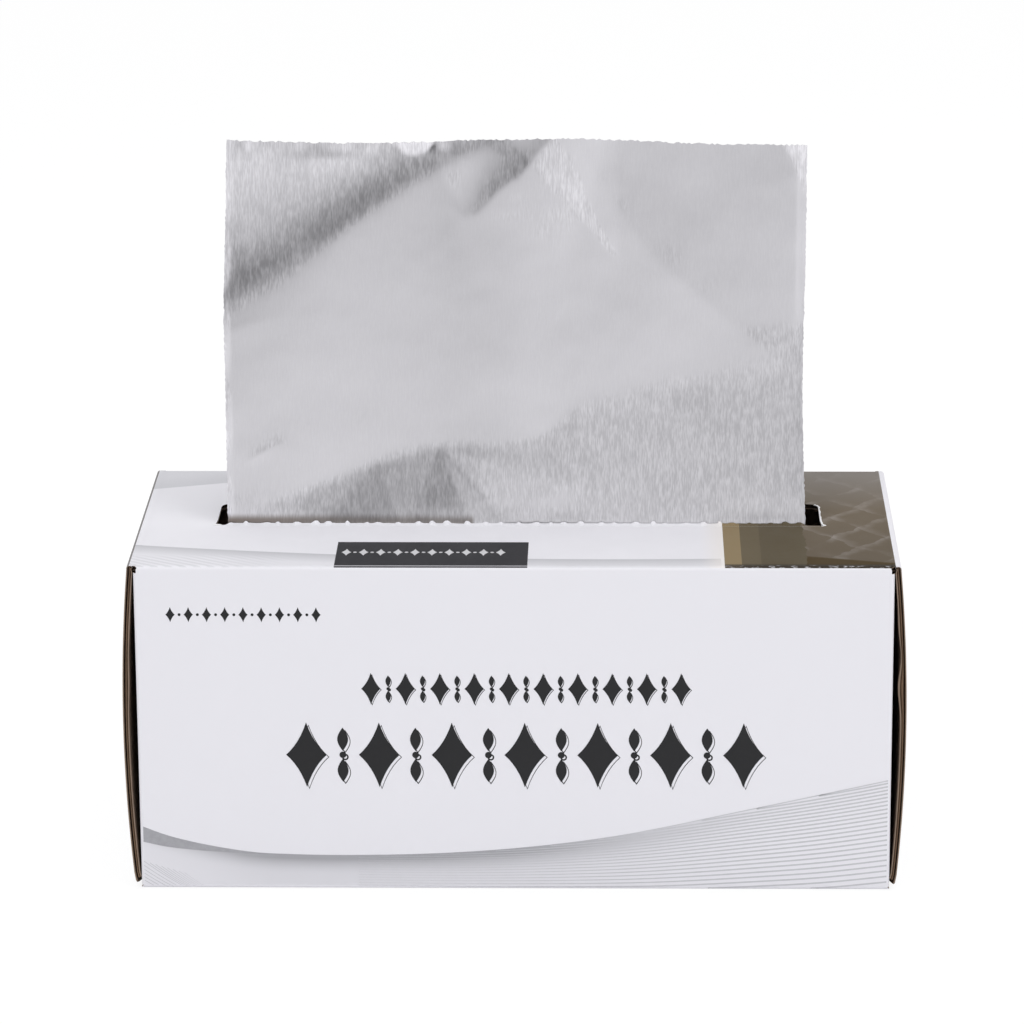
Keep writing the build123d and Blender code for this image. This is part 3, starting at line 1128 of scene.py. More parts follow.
# Creases of the standing sheet, in millimetres across from its middle and up from the slot. Below the low
# crease the sheet leans further back, by its drop. Beyond the band, the notch and the right crease it bends
# back by the drop, over the reach, and goes on with the return's slope. Beyond the front crease it leans
# forward, and beyond the corner crease it lifts.
LOW_CREASE = (
    (-63.5, 2.0), (-51.8, 4.7), (-30, 13.4), (-17.6, 16.6), (0.6, 17.6), (8, 20.0), (14, 25.5), (23, 28.6),
    (45, 31.8), (63.5, 34.5),
)
LOW_DROP = (
    (-63.5, 0.05), (-51.8, 0.38), (-30, 1.75), (-17.6, 2.15), (0.6, 1.3), (8, 1.42), (23, 1.87), (45, 2.42),
    (63.5, 2.95),
)
BAND_CREASE = (
    (-63.5, 48.5), (-48.9, 57.6), (-38, 65.2), (-27, 72.8), (-12, 80.5), (0, 86.0), (12, 92.0), (63.5, 125.0)
)
BAND_DROP = ((-63.5, 3.6), (-48, 3.4), (-32, 3.0), (-12, 2.3), (0, 1.3), (63.5, 0.5))
BAND_REACH, BAND_RETURN = 8.0, 0.078
NOTCH_CREASE = (
    (-63.5, 100.0), (-34, 78.0), (-24, 73.0), (-17, 71.5), (-10, 67.4), (-3.6, 73.0), (2.9, 78.6),
    (7.5, 84.0), (63.5, 125.0),
)
NOTCH_DROP = ((-63.5, 0.0), (-20, 0.1), (-14, 0.35), (-9.6, 1.15), (0.6, 1.75), (63.5, 1.75))
NOTCH_REACH, NOTCH_RETURN = 8.0, 0.02
RIGHT_CREASE = (
    (-63.5, 160.0), (8, 95.0), (14, 82.0), (23, 68.0), (30, 59.0), (40, 51.0), (51, 42.0), (63.5, 34.5)
)
RIGHT_DROP, RIGHT_REACH, RIGHT_RETURN = 0.42, 9.0, -0.018
FRONT_CREASE = (
    (-63.5, 160.0), (-20, 92.0), (-12, 62.0), (0, 52.0), (10, 55.0), (15, 67.0), (20, 86.0), (63.5, 160.0)
)
FRONT_LIFT, FRONT_SOFT = 0.035, 30.0
CORNER_CREASE, CORNER_LIFT = ((-63.5, 260.0), (58, 85.5), (63.5, 74.0)), 0.25

# Folds that widen from a point: the point, the far end of the fold's line, how wide its left and right
# flanks are there, and how far the line stands to the front there
CONE_FOLDS = (
    ((-17, 16.8), (-10.5, 0), 16, 6, 0.85),
    ((-16.5, 16.8), (-1, 0), 9, 14, -0.5),
    ((-30.7, 13.6), (-26.0, 0), 22, 5, 0.6),
    ((0.6, 74.3), (-1.5, 84.5), 5, 8, -0.32),
    ((-9.6, 66.0), (-14, 84.5), 7, 9, 0.3),
    ((23.0, 57.0), (8.5, 84.5), 8, 14, 0.85),
)

# Smaller folds: start, end, half width at the start and at the end, and how far the fold stands to the front
SMALL_FOLDS = (
    ((-59, 13.5), (-52, 17.5), 0.8, 1.2, 0.07),
    ((-63, 42), (-50, 46), 2.0, 3.0, 0.07),
    ((-67, 77), (-54, 83), 7.0, 7.0, 0.45),
    ((-50, 80), (-34, 81), 3.0, 3.0, 0.35),
)

# Outline of the standing sheet: half widths at shares of the height, and heights at shares of the width
LEFT_SIDE = ((0, 0.5), (0.3, 0.5028), (0.58, 0.506), (0.8, 0.5035), (1, 0.5))
RIGHT_SIDE = ((0, 0.5), (0.36, 0.495), (0.7, 0.5), (1, 0.502))
TOP_EDGE = ((-0.5, 1.0), (-0.25, 0.993), (-0.02, 1.002), (0.12, 1.003), (0.3, 0.992), (0.5, 0.987))
CURL_ACROSS, CURL_UP = -22.5, 81.4  # where the top edge curls to the front
FLECK_UP = 84  # height of the flecks, which lie along the top edge


def bend_back(across, up, line, drop, reach, back=0.0, soft=0.5):
    """Beyond a crease line the sheet bends back, most at the line itself, and turns again by back."""
    past = (up - smooth_line(line, across[0])[None, :]) * 0.88
    past = (past + np.sqrt(past**2 + soft)) / 2
    return -drop * (1 - np.exp(-past / reach)) + back * past


def crease_height(across, up):
    """Height of the long creases over the sheet's plane, in millimetres."""
    low = smooth_line(LOW_CREASE, across[0])[None, :]
    drop = smooth_line(LOW_DROP, across[0])[None, :]
    soft = 1 + 14 * smooth_step(across[0], 6, 16)[None, :]
    under = (up + low - np.sqrt((up - low) ** 2 + soft)) / 2
    height = -drop * np.maximum(under, 0) / low
    band_drop = smooth_line(BAND_DROP, across[0])[None, :]
    band_soft = 3 + 9 * (1 - smooth_step(across[0], -54, -36))[None, :]
    height = height + bend_back(across, up, BAND_CREASE, band_drop, BAND_REACH, BAND_RETURN, band_soft)
    notch_drop = smooth_line(NOTCH_DROP, across[0])[None, :]
    height = height + bend_back(across, up, NOTCH_CREASE, notch_drop, NOTCH_REACH, NOTCH_RETURN)
    height = height + bend_back(across, up, RIGHT_CREASE, RIGHT_DROP, RIGHT_REACH, RIGHT_RETURN)
    height = height + bend_back(across, up, FRONT_CREASE, 0.0, 1.0, FRONT_LIFT, FRONT_SOFT)
    return height + bend_back(across, up, CORNER_CREASE, 0.0, 1.0, CORNER_LIFT)


def fold_frame(across, up, start, end):
    """How far along a fold's line each point is, from 0 to 1, and how far to its right, in millimetres."""
    way = np.array(end, float) - start
    length = np.linalg.norm(way)
    way /= length
    along = ((across - start[0]) * way[0] + (up - start[1]) * way[1]) / length
    off = (across - start[0]) * way[1] - (up - start[1]) * way[0]
    return along, off * (1 if way[1] > 0 else -1)


def fold_height(across, up, start, end, start_width, end_width, depth):
    """One small fold: a crisp ridge or valley that fades at both ends."""
    along, off = fold_frame(across, up, start, end)
    width = start_width + (end_width - start_width) * np.clip(along, 0, 1)
    fade = smooth_step(along, -0.2, 0.35) * (1 - smooth_step(along, 0.7, 1.25))
    return depth * np.exp(0.3 - np.sqrt((off / width) ** 2 + 0.09)) * fade


def cone_height(across, up, start, end, left, right, depth):
    """A fold that starts at a point and widens, with a flat flank on each side of its line."""
    along, off = fold_frame(across, up, start, end)
    reach = np.clip(along, 0.02, 1.2)
    flank = np.abs(off) / (np.where(off < 0, left, right) * reach)
    profile = np.maximum(0, 1.08 - np.sqrt(flank**2 + 0.0064))
    profile = profile**2 / (profile + 0.3) * 1.3
    return depth * reach * profile * smooth_step(along, 0, 0.12)


def top_curl(across, up):
    """The curl of the top edge towards the front, over one short arc."""
    off = across - CURL_ACROSS
    over = up - (CURL_UP + 0.13 * off**2)
    over = (over + np.sqrt(over**2 + 0.05)) / 2
    return 0.42 * over * np.exp(-((off / 9) ** 4))


def wrinkles(rows, columns, seed, coarse):
    """Smooth unevenness with a given grain, between about -1 and 1."""
    chance = np.random.default_rng(seed)
    field = blur(chance.normal(size=(rows, columns)), coarse)
    return field / np.abs(field).max()


def sheet_grid():
    """Middle surface of the sheet as a grid, from the roll up to its torn edge."""
    foil = settings().foil
    path = SheetPath()
    columns = int(foil.width / foil.grid) + 1
    rows = int(foil.height / foil.grid) + 1
    share_across = np.linspace(-0.5, 0.5, columns)[None, :].repeat(rows, 0)
    share_up = np.linspace(0, 1, rows)[:, None].repeat(columns, 1)
    across, up = share_across * foil.width / MM, share_up * foil.height / MM
    height = crease_height(across, up)
    for fold in CONE_FOLDS:
        height += cone_height(across, up, *fold)
    small = sum(fold_height(across, up, *fold) for fold in SMALL_FOLDS)
    small += wrinkles(rows, columns, WRINKLE_SEED, 4.5 * MM / foil.grid) * 0.22
    small += wrinkles(rows, columns, CRINKLE_SEED, 1.4 * MM / foil.grid) * 0.04
    small += top_curl(across, up)

    # The curled side edges and the flecks along the top edge
    side = foil.width / 2 / MM
    small += 0.4 * smooth_step(-across, side - 1.3, side) * (1 + 0.6 * np.sin(up * 0.35))
    small -= 0.7 * smooth_step(across, side - 2.0, side) * smooth_step(up, 40, 58)
    chance = np.random.default_rng(FLECK_SEED)
    for place in chance.uniform(-62, -12, 12):
        fleck = np.exp(-(((across - place) / 1.1) ** 2) - ((up - FLECK_UP) / 1.3) ** 2)
        small += chance.uniform(-0.32, 0.32) * fleck
    height = (height + small * smooth_step(up, 0, 4)) * MM

    # Outline: the sides are not quite straight, and the top edge is finely torn
    left = smooth_line(LEFT_SIDE, share_up[:, 0])
    right = smooth_line(RIGHT_SIDE, share_up[:, 0])
    middle = (right - left) / 2
    wide = left + right
    x = (share_across * wide[:, None] + middle[:, None]) * foil.width
    rough = np.random.default_rng(SIDE_SEED).normal(size=(rows, 1))
    x += 0.06 * MM * rough * (np.abs(share_across) > 0.499)
    top = smooth_line(TOP_EDGE, share_across[0])
    torn = chance.uniform(-1, 1, columns) * 0.22 * MM
    along = share_up * top[None, :] * foil.height
    along += torn[None, :] * smooth_step(share_up, 0.985, 1.0)
    spine_y = path.foot[0] + path.up[0] * along + path.front[0] * height
    spine_z = path.foot[1] + path.up[1] * along + path.front[1] * height
    standing = np.stack([x, spine_y, spine_z], axis=-1)

    run_x = np.linspace(-0.5, 0.5, columns) * foil.width
    run = np.array([[(a, y, z) for a in run_x] for y, z in path.run])
    follow = smooth_step(np.arange(len(run)), len(run) - 12, len(run) - 1)[:, None] * height[0][None, :]
    run[:, :, 1] += follow * path.front[0]
    run[:, :, 2] += follow * path.front[1]
    return np.concatenate([run, standing], axis=0)


def normals_of(grid):
    """Unit normals of a grid of points."""
    down = np.gradient(grid, axis=0)
    right = np.gradient(grid, axis=1)
    normal = np.cross(right, down)
    return normal / np.linalg.norm(normal, axis=-1, keepdims=True)


class MESH_OT_foil_roll_sheet(bpy.types.Operator):
    """Build the sheet that runs from the roll up through the slot"""

    bl_idname = "mesh.foil_roll_sheet"
    bl_label = "Standing sheet"
    bl_options = {"REGISTER", "UNDO"}

    def execute(self, context):
        grid = sheet_grid()
        half = settings().foil.thickness / 2
        normal = normals_of(grid)
        parts = Parts()
        parts.shell(grid + normal * half, grid - normal * half)
        finish = foil_finish("foil_upright", (1, 0.3, 0.13), stain_and_painted_light=True)
        piece = parts.build("foil_sheet", [finish], "box", "foil", sharp=radians(60))
        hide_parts("foil")
        return {"FINISHED"}


class MESH_OT_foil_roll_winding(bpy.types.Operator):
    """Build the wound foil round the paper tube, and give the tube its paper"""

    bl_idname = "mesh.foil_roll_winding"
    bl_label = "Winding and tube"
    bl_options = {"REGISTER", "UNDO"}

    def execute(self, context):
        half = settings().foil.width / 2
        bore = TUBE_RADIUS + 0.15 * MM
        turns = 64
        radii = np.linspace(bore, ROLL_RADIUS, turns * 2)
        angles = np.linspace(0, 2 * pi, 145)[:-1]
        chance = np.random.default_rng(WINDING_SEED)
        places = np.arange(turns * 4)
        slip = np.interp(places, places[::3], chance.uniform(0, 1, len(places[::3])))
        coarse = blur(chance.normal(size=(turns * 4, 1)), 6)[:, 0]
        slip = 0.10 * MM * slip + 0.9 * MM * coarse

        def round_row(x, radius):
            across = np.broadcast_to(x, angles.shape)
            return np.stack([across, ROLL_Y + radius * np.sin(angles), ROLL_Z + radius * np.cos(angles)], -1)

        def end_face(end):
            rows = []
            for i, radius in enumerate(radii):
                turn = i + angles / (2 * pi) * 2
                proud = np.interp(turn, places, slip)
                x = end * (half - 0.15 * MM + np.clip(proud, -0.3 * MM, 0.14 * MM))
                rows.append(round_row(x, radius))
            return rows

        left, right = end_face(-1), end_face(1)
        outside = []
        for x in steps(-half + 0.4 * MM, half - 0.4 * MM, 6 * MM):
            lumps = ROLL_RADIUS - 0.02 * MM * (1 + np.sin(3 * angles + x * 90))
            outside.append(round_row(x, lumps))
        parts = Parts()
        parts.ring(np.array(left + outside + right[::-1]))
        finish = foil_finish("foil_wound", (0.6, 0.6, 0.6))
        piece = parts.build("foil_winding", [finish], "box", "foil")
        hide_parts("foil")
        tube = frame["nodes"]["core_tube"]
        tube.data.materials.clear()
        tube.data.materials.append(tube_paper())
        return {"FINISHED"}


# Print on the top panel: where each field begins to the right, the label's sides and the rule along its foot
CREAM_FROM, GOLD_FROM, PALE_BROWN_FROM = 39.5 * MM, 45.2 * MM, 48.9 * MM
BROWN_FROM, QUILT_FROM = 53.1 * MM, 62.9 * MM
LABEL_X, LABEL_Y, RULE_Y = (-38.4 * MM, 3.0 * MM), (-40 * MM, -18.8 * MM), (-36.2 * MM, -35.75 * MM)

# The crease colour is painted shade: a thin dark line along the top's left end, where the gap to the closing
# flap lies in shade
CREAM, PAINTED_CREASE_SHADE = (0.80, 0.755, 0.72), (0.20, 0.19, 0.19)
# The quilt's lines are print; its far colour is a painted sheen towards the back of the quilted field
QUILT_LINE, QUILT_PAINTED_SHEEN = (0.27, 0.24, 0.215), (0.245, 0.228, 0.215)
CORNER_BROWN, EDGE_BROWN = (0.058, 0.034, 0.006), (0.03, 0.024, 0.018)


def between(tree, value, low, high):
    """1 where the value lies between low and high."""
    above = maths(tree, "GREATER_THAN", value, low)
    return times(tree, above, maths(tree, "LESS_THAN", value, high))


def top_print():
    """The top panel's white, with its printed fields by place, a painted shade along its left end and a
    painted sheen towards the back of the quilted field.
    """
    inks, board = settings().inks, settings().board
    material, tree, shader = new_material("top_print")
    coordinates, x, y, z = object_place(tree)
    fibre = noise(tree, coordinates, PAPER_FIBRE, 5, roughness=0.7)
    cloud = noise(tree, coordinates, PAPER_CLOUD, 4)
    colour = clouded_white(tree, cloud)

    # Grey sweep at the back left, and the sweep near the front
    back_edge = plus(tree, times(tree, x, 0.316), 47.2 * MM)
    beyond = minus(tree, y, back_edge)
    paling = remap(tree, beyond, 0, 9 * MM, 1.0, 0.7)
    back_band = times(tree, remap(tree, beyond, 0, 0.4 * MM), paling)
    colour = mix(tree, back_band, colour, rgba(inks.grey))
    bow = times(tree, maths(tree, "POWER", minus(tree, x, 20 * MM), 2.0), 0.95)
    front_edge = minus(tree, bow, 31.0 * MM)
    below = minus(tree, front_edge, y)
    edge = remap(tree, below, 0, 0.25 * MM)
    fade = remap(tree, below, 0, 6.5 * MM, 0.95, 0.15)
    left_of_gold = maths(tree, "LESS_THAN", x, GOLD_FROM - 0.7 * MM)
    shade = times(tree, edge, fade, left_of_gold)
    colour = mix(tree, shade, colour, rgba(inks.grey, 0.84))
    slant = plus(tree, times(tree, x, 0.62), y)
    dash = between(tree, maths(tree, "FRACT", maths(tree, "DIVIDE", slant, 1.9 * MM)), 0.0, 0.5)
    corner = times(tree, remap(tree, x, -46 * MM, -66 * MM), remap(tree, y, -28.0 * MM, -31 * MM))
    colour = mix(tree, times(tree, corner, 0.35), colour, rgba(inks.grey, 0.95))
    pale_dash = times(tree, dash, corner, 0.75)
    colour = mix(tree, pale_dash, colour, rgba(board.white, 1.02))

    # Brown fields at the right
    cream = remap(tree, x, CREAM_FROM, GOLD_FROM - 0.2 * MM, 0, 0.6, smooth=True)
    colour = mix(tree, cream, colour, CREAM)
    fields = (
        (GOLD_FROM, rgba(inks.gold)),
        (PALE_BROWN_FROM, rgba(inks.brown, 1.27)),
        (BROWN_FROM, rgba(inks.brown)),
    )
    for start, field in fields:
        colour = mix(tree, maths(tree, "GREATER_THAN", x, start), colour, field)
    jag = noise(tree, coordinates, 300, 2, stretch=(0.01, 1, 0.01))
    ragged = plus(tree, x, times(tree, minus(tree, jag, 0.5), 2.4 * MM))
    quilted = maths(tree, "GREATER_THAN", ragged, QUILT_FROM)
    quilt = quilt_lines(tree, x, y)
    # Painted sheen: the quilted field is painted darker at the front and lighter and greyer towards the back
    depth = remap(tree, y, -30 * MM, 34 * MM, 0.86, 1.22)
    taupe = mix(tree, quilt, rgba(inks.taupe, 0.9), QUILT_LINE)
    scale = put(tree, "ShaderNodeVectorMath", {0: taupe}, operation="SCALE")
    tree.links.new(depth, scale.inputs["Scale"])
    far = remap(tree, y, 5 * MM, 33 * MM, 0, 0.72)
    colour = mix(tree, quilted, colour, mix(tree, far, scale.outputs[0], QUILT_PAINTED_SHEEN))
    slope = plus(tree, times(tree, minus(tree, x, QUILT_FROM + 0.1 * MM), 0.26), y)
    wedge = times(tree, quilted, remap(tree, slope, -28.4 * MM, -29.2 * MM))
    colour = mix(tree, wedge, colour, CORNER_BROWN)
    right_part = maths(tree, "GREATER_THAN", x, GOLD_FROM)
    low_edge = times(tree, right_part, remap(tree, y, -34.2 * MM, -35.2 * MM, 0, 0.85))
    colour = mix(tree, low_edge, colour, EDGE_BROWN)
    speck = remap(tree, noise(tree, coordinates, 1100, 3, stretch=(0.6, 1, 1)), 0.54, 0.66)
    worn = times(tree, right_part, remap(tree, y, -35.0 * MM, -35.9 * MM, 0, 0.7))
    colour = mix(tree, times(tree, speck, worn), colour, rgba(board.white, 0.8))

    # The plain dark label, and the pale rule along the front fold
    label = times(tree, between(tree, x, *LABEL_X), between(tree, y, *LABEL_Y))
    colour = mix(tree, label, colour, rgba(inks.charcoal, 1.95))
    rule = times(tree, label, between(tree, y, *RULE_Y))
    colour = mix(tree, times(tree, rule, 0.6), colour, rgba(board.white, 0.85))
    front_white = maths(tree, "LESS_THAN", z, HEIGHT - 0.26 * MM)
    colour = mix(tree, front_white, colour, rgba(board.white))
    rim = maths(tree, "GREATER_THAN", x, HALF_LENGTH + 0.2 * MM)
    colour = mix(tree, rim, colour, rgba(board.white))
    # Painted shade: a thin dark line along the left end's crease
    crease = remap(tree, x, -HALF_LENGTH - 0.82 * MM, -HALF_LENGTH - 0.9 * MM)
    colour = mix(tree, crease, colour, PAINTED_CREASE_SHADE)
    tree.links.new(colour, shader.inputs["Base Color"])
    tree.links.new(remap(tree, cloud, 0.2, 0.8, 0.50, 0.60), shader.inputs["Roughness"])
    shader.inputs["Specular IOR Level"].default_value = 0.2
    paper_grain(tree, shader, fibre)
    return material


def quilt_lines(tree, x, y):
    """A plain diamond quilt: soft, uneven pale lines along two diagonals."""
    pitch = 7.5 * MM
    place = put(tree, "ShaderNodeCombineXYZ", {0: x, 1: y}).outputs[0]
    wander = times(tree, minus(tree, noise(tree, place, 130, 3), 0.5), 4.5 * MM)
    both = []
    for sign in (-1, 1):
        slant = plus(tree, times(tree, x, 0.62), times(tree, y, sign * 0.5))
        slant = plus(tree, slant, wander)
        saw = maths(tree, "FRACT", maths(tree, "DIVIDE", plus(tree, slant, 1.0), pitch))
        both.append(remap(tree, saw, 0.0, 0.32, 0.55, 0.0, smooth=True))
    patchy = remap(tree, noise(tree, place, 160, 3), 0.40, 0.64, 0.05, 1.1)
    total = maths(tree, "ADD", both[0], times(tree, both[1], 0.7), clamp=True)
    return maths(tree, "MULTIPLY", total, patchy, clamp=True)


# Print on the front panel

# In millimetres: the upper edge of the curved sweep, and the foot of the fan of lines under it
SWOOSH = (
    (-81.5, 14.6), (-76.1, 12.5), (-69.9, 10.8), (-63, 9.4), (-57, 8.5), (-47.4, 8.0), (-33, 7.9),
    (-12, 8.6), (18.6, 11.9), (53.2, 19.2), (81.5, 25.6),
)
SWOOSH_REACH, SWOOSH_TALL = 81.5, 30  # the range of the curve that the grey ink follows
FAN_FOOT = ((-40, 0.9), (10, 0.6), (29.4, 0.8), (53.3, 2.0), (66.3, 2.9), (84, 4.9))
INK_LIFT, INK_FOOT = 0.02 * MM, 0.01 * MM  # how far the ink stands out of the board and reaches into it

# Ornament rows of the front, in millimetres: left, right, low, high, and how many lozenges
ORNAMENT_ROWS = ((-34.5, 39.7, 42.5, 49.7, 10), (-52.8, 57.4, 23.6, 38.4, 7))

# Small rows: the middles of the first and the last lozenge, in millimetres, and how many there are
FRONT_SMALL_ROW, LABEL_ROW = (-73.7, -42.34, 9), (-36.2, -2.9, 10)


def on_front(a, b, c):
    """The front panel: a is along it, b is height and c is out of it."""
    return (a, -HALF_DEPTH - c, b)


def front_ribbon(parts, xs, low, high, lift=1):
    """A printed ribbon between two heights on the front panel."""
    fold = settings().board.fold_radius

    def place(x, z, out):
        under = max(0.0, fold - z)
        return on_front(x, z, out - fold + sqrt(fold**2 - under**2))

    near = np.array([[place(x, z, lift * INK_LIFT) for x, z in zip(xs, zs)] for zs in (low, high)])
    far = np.array([[place(x, z, -2 * INK_FOOT) for x, z in zip(xs, zs)] for zs in (low, high)])
    parts.shell(near, far)


def fine_line(parts, xs, height, half):
    """One printed hairline. Half is its half width in millimetres, place by place."""
    keep = (height > 0.3 * MM) & (height < smooth_line(SWOOSH, xs / MM) * MM - 0.25 * MM)
    if keep.sum() < 3:
        return
    half = np.maximum(half, 0.02)[keep] * MM
    front_ribbon(parts, xs[keep], height[keep] - half, height[keep] + half, lift=2)


def fading_grey(name, colour, strength):
    """Grey ink that is strongest along the swoosh's edge and fades below it."""
    board = settings().board
    material, tree, shader = new_material(name)
    coordinates, x, _, z = object_place(tree)
    fibre = noise(tree, coordinates, PAPER_FIBRE, 5, roughness=0.7)
    along = remap(tree, x, -SWOOSH_REACH * MM, SWOOSH_REACH * MM)
    curve = put(tree, "ShaderNodeFloatCurve", {"Value": along})
    line = curve.mapping.curves[0]
    ends = {0: line.points[0], len(SWOOSH) - 1: line.points[1]}
    for number, (place, height) in enumerate(SWOOSH):
        spot = ((place + SWOOSH_REACH) / (2 * SWOOSH_REACH), height / SWOOSH_TALL)
        if number in ends:
            ends[number].location = spot
        else:
            line.points.new(*spot)
    curve.mapping.update()
    edge_height = times(tree, curve.outputs[0], SWOOSH_TALL * MM)
    below = minus(tree, edge_height, z)
    reach = remap(tree, x, -25 * MM, 25 * MM, 4.6 * MM, 6.8 * MM)
    near = remap(tree, maths(tree, "DIVIDE", below, reach), 0.0, 1.0, 1.0, 0.0)
    near = maths(tree, "POWER", near, 1.8)
    wide = remap(tree, below, 0.0, 12 * MM, strength, 0.12, smooth=True)
    fade = maths(tree, "ADD", near, wide, clamp=True)
    left = remap(tree, x, -80 * MM, -50 * MM, 0.55, 1.0, smooth=True)
    right = remap(tree, x, -5 * MM, 62 * MM, 1.0, 0.06, smooth=True)
    share = times(tree, fade, left, right)
    colour = mix(tree, share, rgba(board.white), rgba(colour))
    tree.links.new(colour, shader.inputs["Base Color"])
    shader.inputs["Roughness"].default_value = 0.48
    shader.inputs["Specular IOR Level"].default_value = 0.35
    paper_grain(tree, shader, fibre)
    return material


def lens(middle_x, middle_z, long, wide, count=10):
    """A leaf between two arcs."""
    points = []
    for side, start in ((1, 0), (-1, 1)):
        for share in np.linspace(start, 1 - start, count)[:-1]:
            points.append((middle_x + side * wide / 2 * sin(pi * share), middle_z + long * (share - 0.5)))
    return points


def star(middle_x, middle_z, tall, wide, hollow=0.3):
    """A four-pointed lozenge with hollow sides."""
    points = []
    for quarter in range(4):
        start, end = (
            np.array([sin(angle) * wide / 2, cos(angle) * tall / 2])
            for angle in (quarter * pi / 2, (quarter + 1) * pi / 2)
        )
        pull = (start + end) / 2 * (1 - hollow)
        for share in np.linspace(0, 1, 7)[:-1]:
            points.append(start * (1 - share) ** 2 + pull * 2 * share * (1 - share) + end * share**2)
    return [(middle_x + a, middle_z + b) for a, b in points]


def bead(middle_x, middle_z, radius, count=18):
    """A round dot."""
    return [
        (middle_x + radius * sin(2 * pi * i / count), middle_z + radius * cos(2 * pi * i / count))
        for i in range(count)
    ]


def shadow_line(outline, shift, thick):
    """A thin line round an outline, moved down to the right, with its inner edge."""
    points = np.array(outline) + shift
    middle = points.mean(axis=0)
    size = np.abs(points - middle).max()
    return [points.tolist(), (middle + (points - middle) * (1 - thick / size)).tolist()]


def ornament_row(solid, lines, left, right, low, high, count):
    """A row of hollow-sided lozenges with leaves and beads between them."""
    tall = high - low
    pitch = (right - left) / count
    middle_z = (low + high) / 2
    shapes = []
    for i in range(count):
        x = left + pitch * (i + 0.5)
        shapes.append(star(x, middle_z, tall, pitch * 0.56))
    for i in range(count - 1):
        x = left + pitch * (i + 1)
        for sign in (-1, 1):
            shapes.append(lens(x, middle_z + sign * tall * 0.24, tall * 0.36, pitch * 0.15))
        shapes.append(bead(x, middle_z, tall * 0.05))
    shift = np.array([0.035, -0.035]) * tall
    for shape in shapes:
        solid.prism([shape], on_front, 2 * INK_LIFT, -INK_FOOT)
        lines.prism(shadow_line(shape, shift, 0.34 * MM), on_front, INK_LIFT, -INK_FOOT)


def small_row(parts, place, middles, level, tall, wide, dot, base=0.0):
    """A row of small lozenges with a dot between each two. Base is the printed face's height."""
    for x in middles:
        parts.prism([star(x, level, tall, wide)], place, base + INK_LIFT, base - INK_FOOT)
    for x in (middles[:-1] + middles[1:]) / 2:
        parts.prism([bead(x, level, dot)], place, base + INK_LIFT, base - INK_FOOT)


class MESH_OT_foil_roll_front_print(bpy.types.Operator):
    """Print the front panel: plain ornament rows, the sweep and its fine lines"""

    bl_idname = "mesh.foil_roll_front_print"
    bl_label = "Front print"
    bl_options = {"REGISTER", "UNDO"}

    def execute(self, context):
        inks = settings().inks
        end = HALF_LENGTH - settings().board.end_radius
        fold = settings().board.fold_radius

        # The soft grey field under the sweep, its dark stripe and the fine lines
        xs = steps(-end, end, 1.5 * MM)
        edge = smooth_line(SWOOSH, xs / MM) * MM
        sweep = Parts()
        front_ribbon(sweep, xs, np.full(len(xs), fold), edge)
        grey = fading_grey("ink_fading_grey", inks.stripe, 0.36)
        sweep.build("front_sweep", [grey], "box", "printed_board")

        xs = steps(-end, -46 * MM, 1.2 * MM)
        edge = smooth_line(SWOOSH, xs / MM) * MM
        narrow = smooth_line(((-end / MM, 0), (-70, 0.48), (-63, 0.73), (-57, 0.88), (-46, 1.0)), xs / MM)
        thick = 3.5 * MM * (1 - narrow)
        stripe = Parts()
        front_ribbon(stripe, xs, edge - thick, edge, lift=2)
        stripe.build("front_stripe", [ink("ink_stripe", inks.stripe)], "box", "printed_board")

        # Fine lines that fan out under the sweep, one along its edge, and short ones at the lower left
        lines = Parts()
        for number in range(-3, 22):
            xs = steps(-34 * MM, end, 1.5 * MM)
            foot = smooth_line(FAN_FOOT, xs / MM) * MM
            rise = smooth_line(SWOOSH, xs / MM) * MM - foot
            spread = 1 + 0.3 * ((end - xs) / (80 * MM)) ** 1.6
            height = foot + rise * spread * (0.0607 * number - 0.00062 * number**2)
            fine_line(lines, xs, height, 0.02 + 0.16 * smooth_step(xs, -25 * MM, 60 * MM))
        xs = steps(-10 * MM, end, 1.5 * MM)
        edge = smooth_line(SWOOSH, xs / MM) * MM
        half = (0.02 + 0.10 * smooth_step(xs, 0, 60 * MM)) * MM
        front_ribbon(lines, xs, edge - 2 * half, edge, lift=2)
        pitch = 1.25 * MM
        for number in range(-9, 8):
            start = -end + pitch * number
            top = 6.3 * MM - 0.3 * max(0, number) * pitch
            xs = steps(max(-end, start), start + 13 * MM, 1.0 * MM)
            height = top - 0.78 * (xs - start) + 0.012 * (xs - start) ** 2 / MM
            fine_line(lines, xs, height, 0.075 * (1 - smooth_step(xs, -78 * MM, -66 * MM)))
        fine = ink("ink_fine_line", inks.line, grain=0.03)
        lines.build("front_fine_lines", [fine], "box", "printed_board")

        # Plain ornament rows, on the front and on the label
        solid, outlines = Parts(), Parts()
        for *sides, count in ORNAMENT_ROWS:
            ornament_row(solid, outlines, *(side * MM for side in sides), count)
        middles = np.linspace(*FRONT_SMALL_ROW) * MM
        small_row(solid, on_front, middles, 62.8 * MM, 3.4 * MM, 2.0 * MM, 0.32 * MM)
        pale = Parts()
        middles = np.linspace(*LABEL_ROW) * MM
        small_row(pale, on_top, middles, -26.3 * MM, 4.8 * MM, 2.1 * MM, 0.4 * MM, base=HEIGHT)
        pale.build("label_ornaments", [ink("ink_pale", inks.pale)], "box", "printed_board")
        charcoal = ink("ink_charcoal", inks.charcoal)
        solid.build("front_ornaments", [charcoal], "box", "printed_board")
        outlines.build("front_ornament_lines", [charcoal], "box", "printed_board")
        return {"FINISHED"}


# Stage

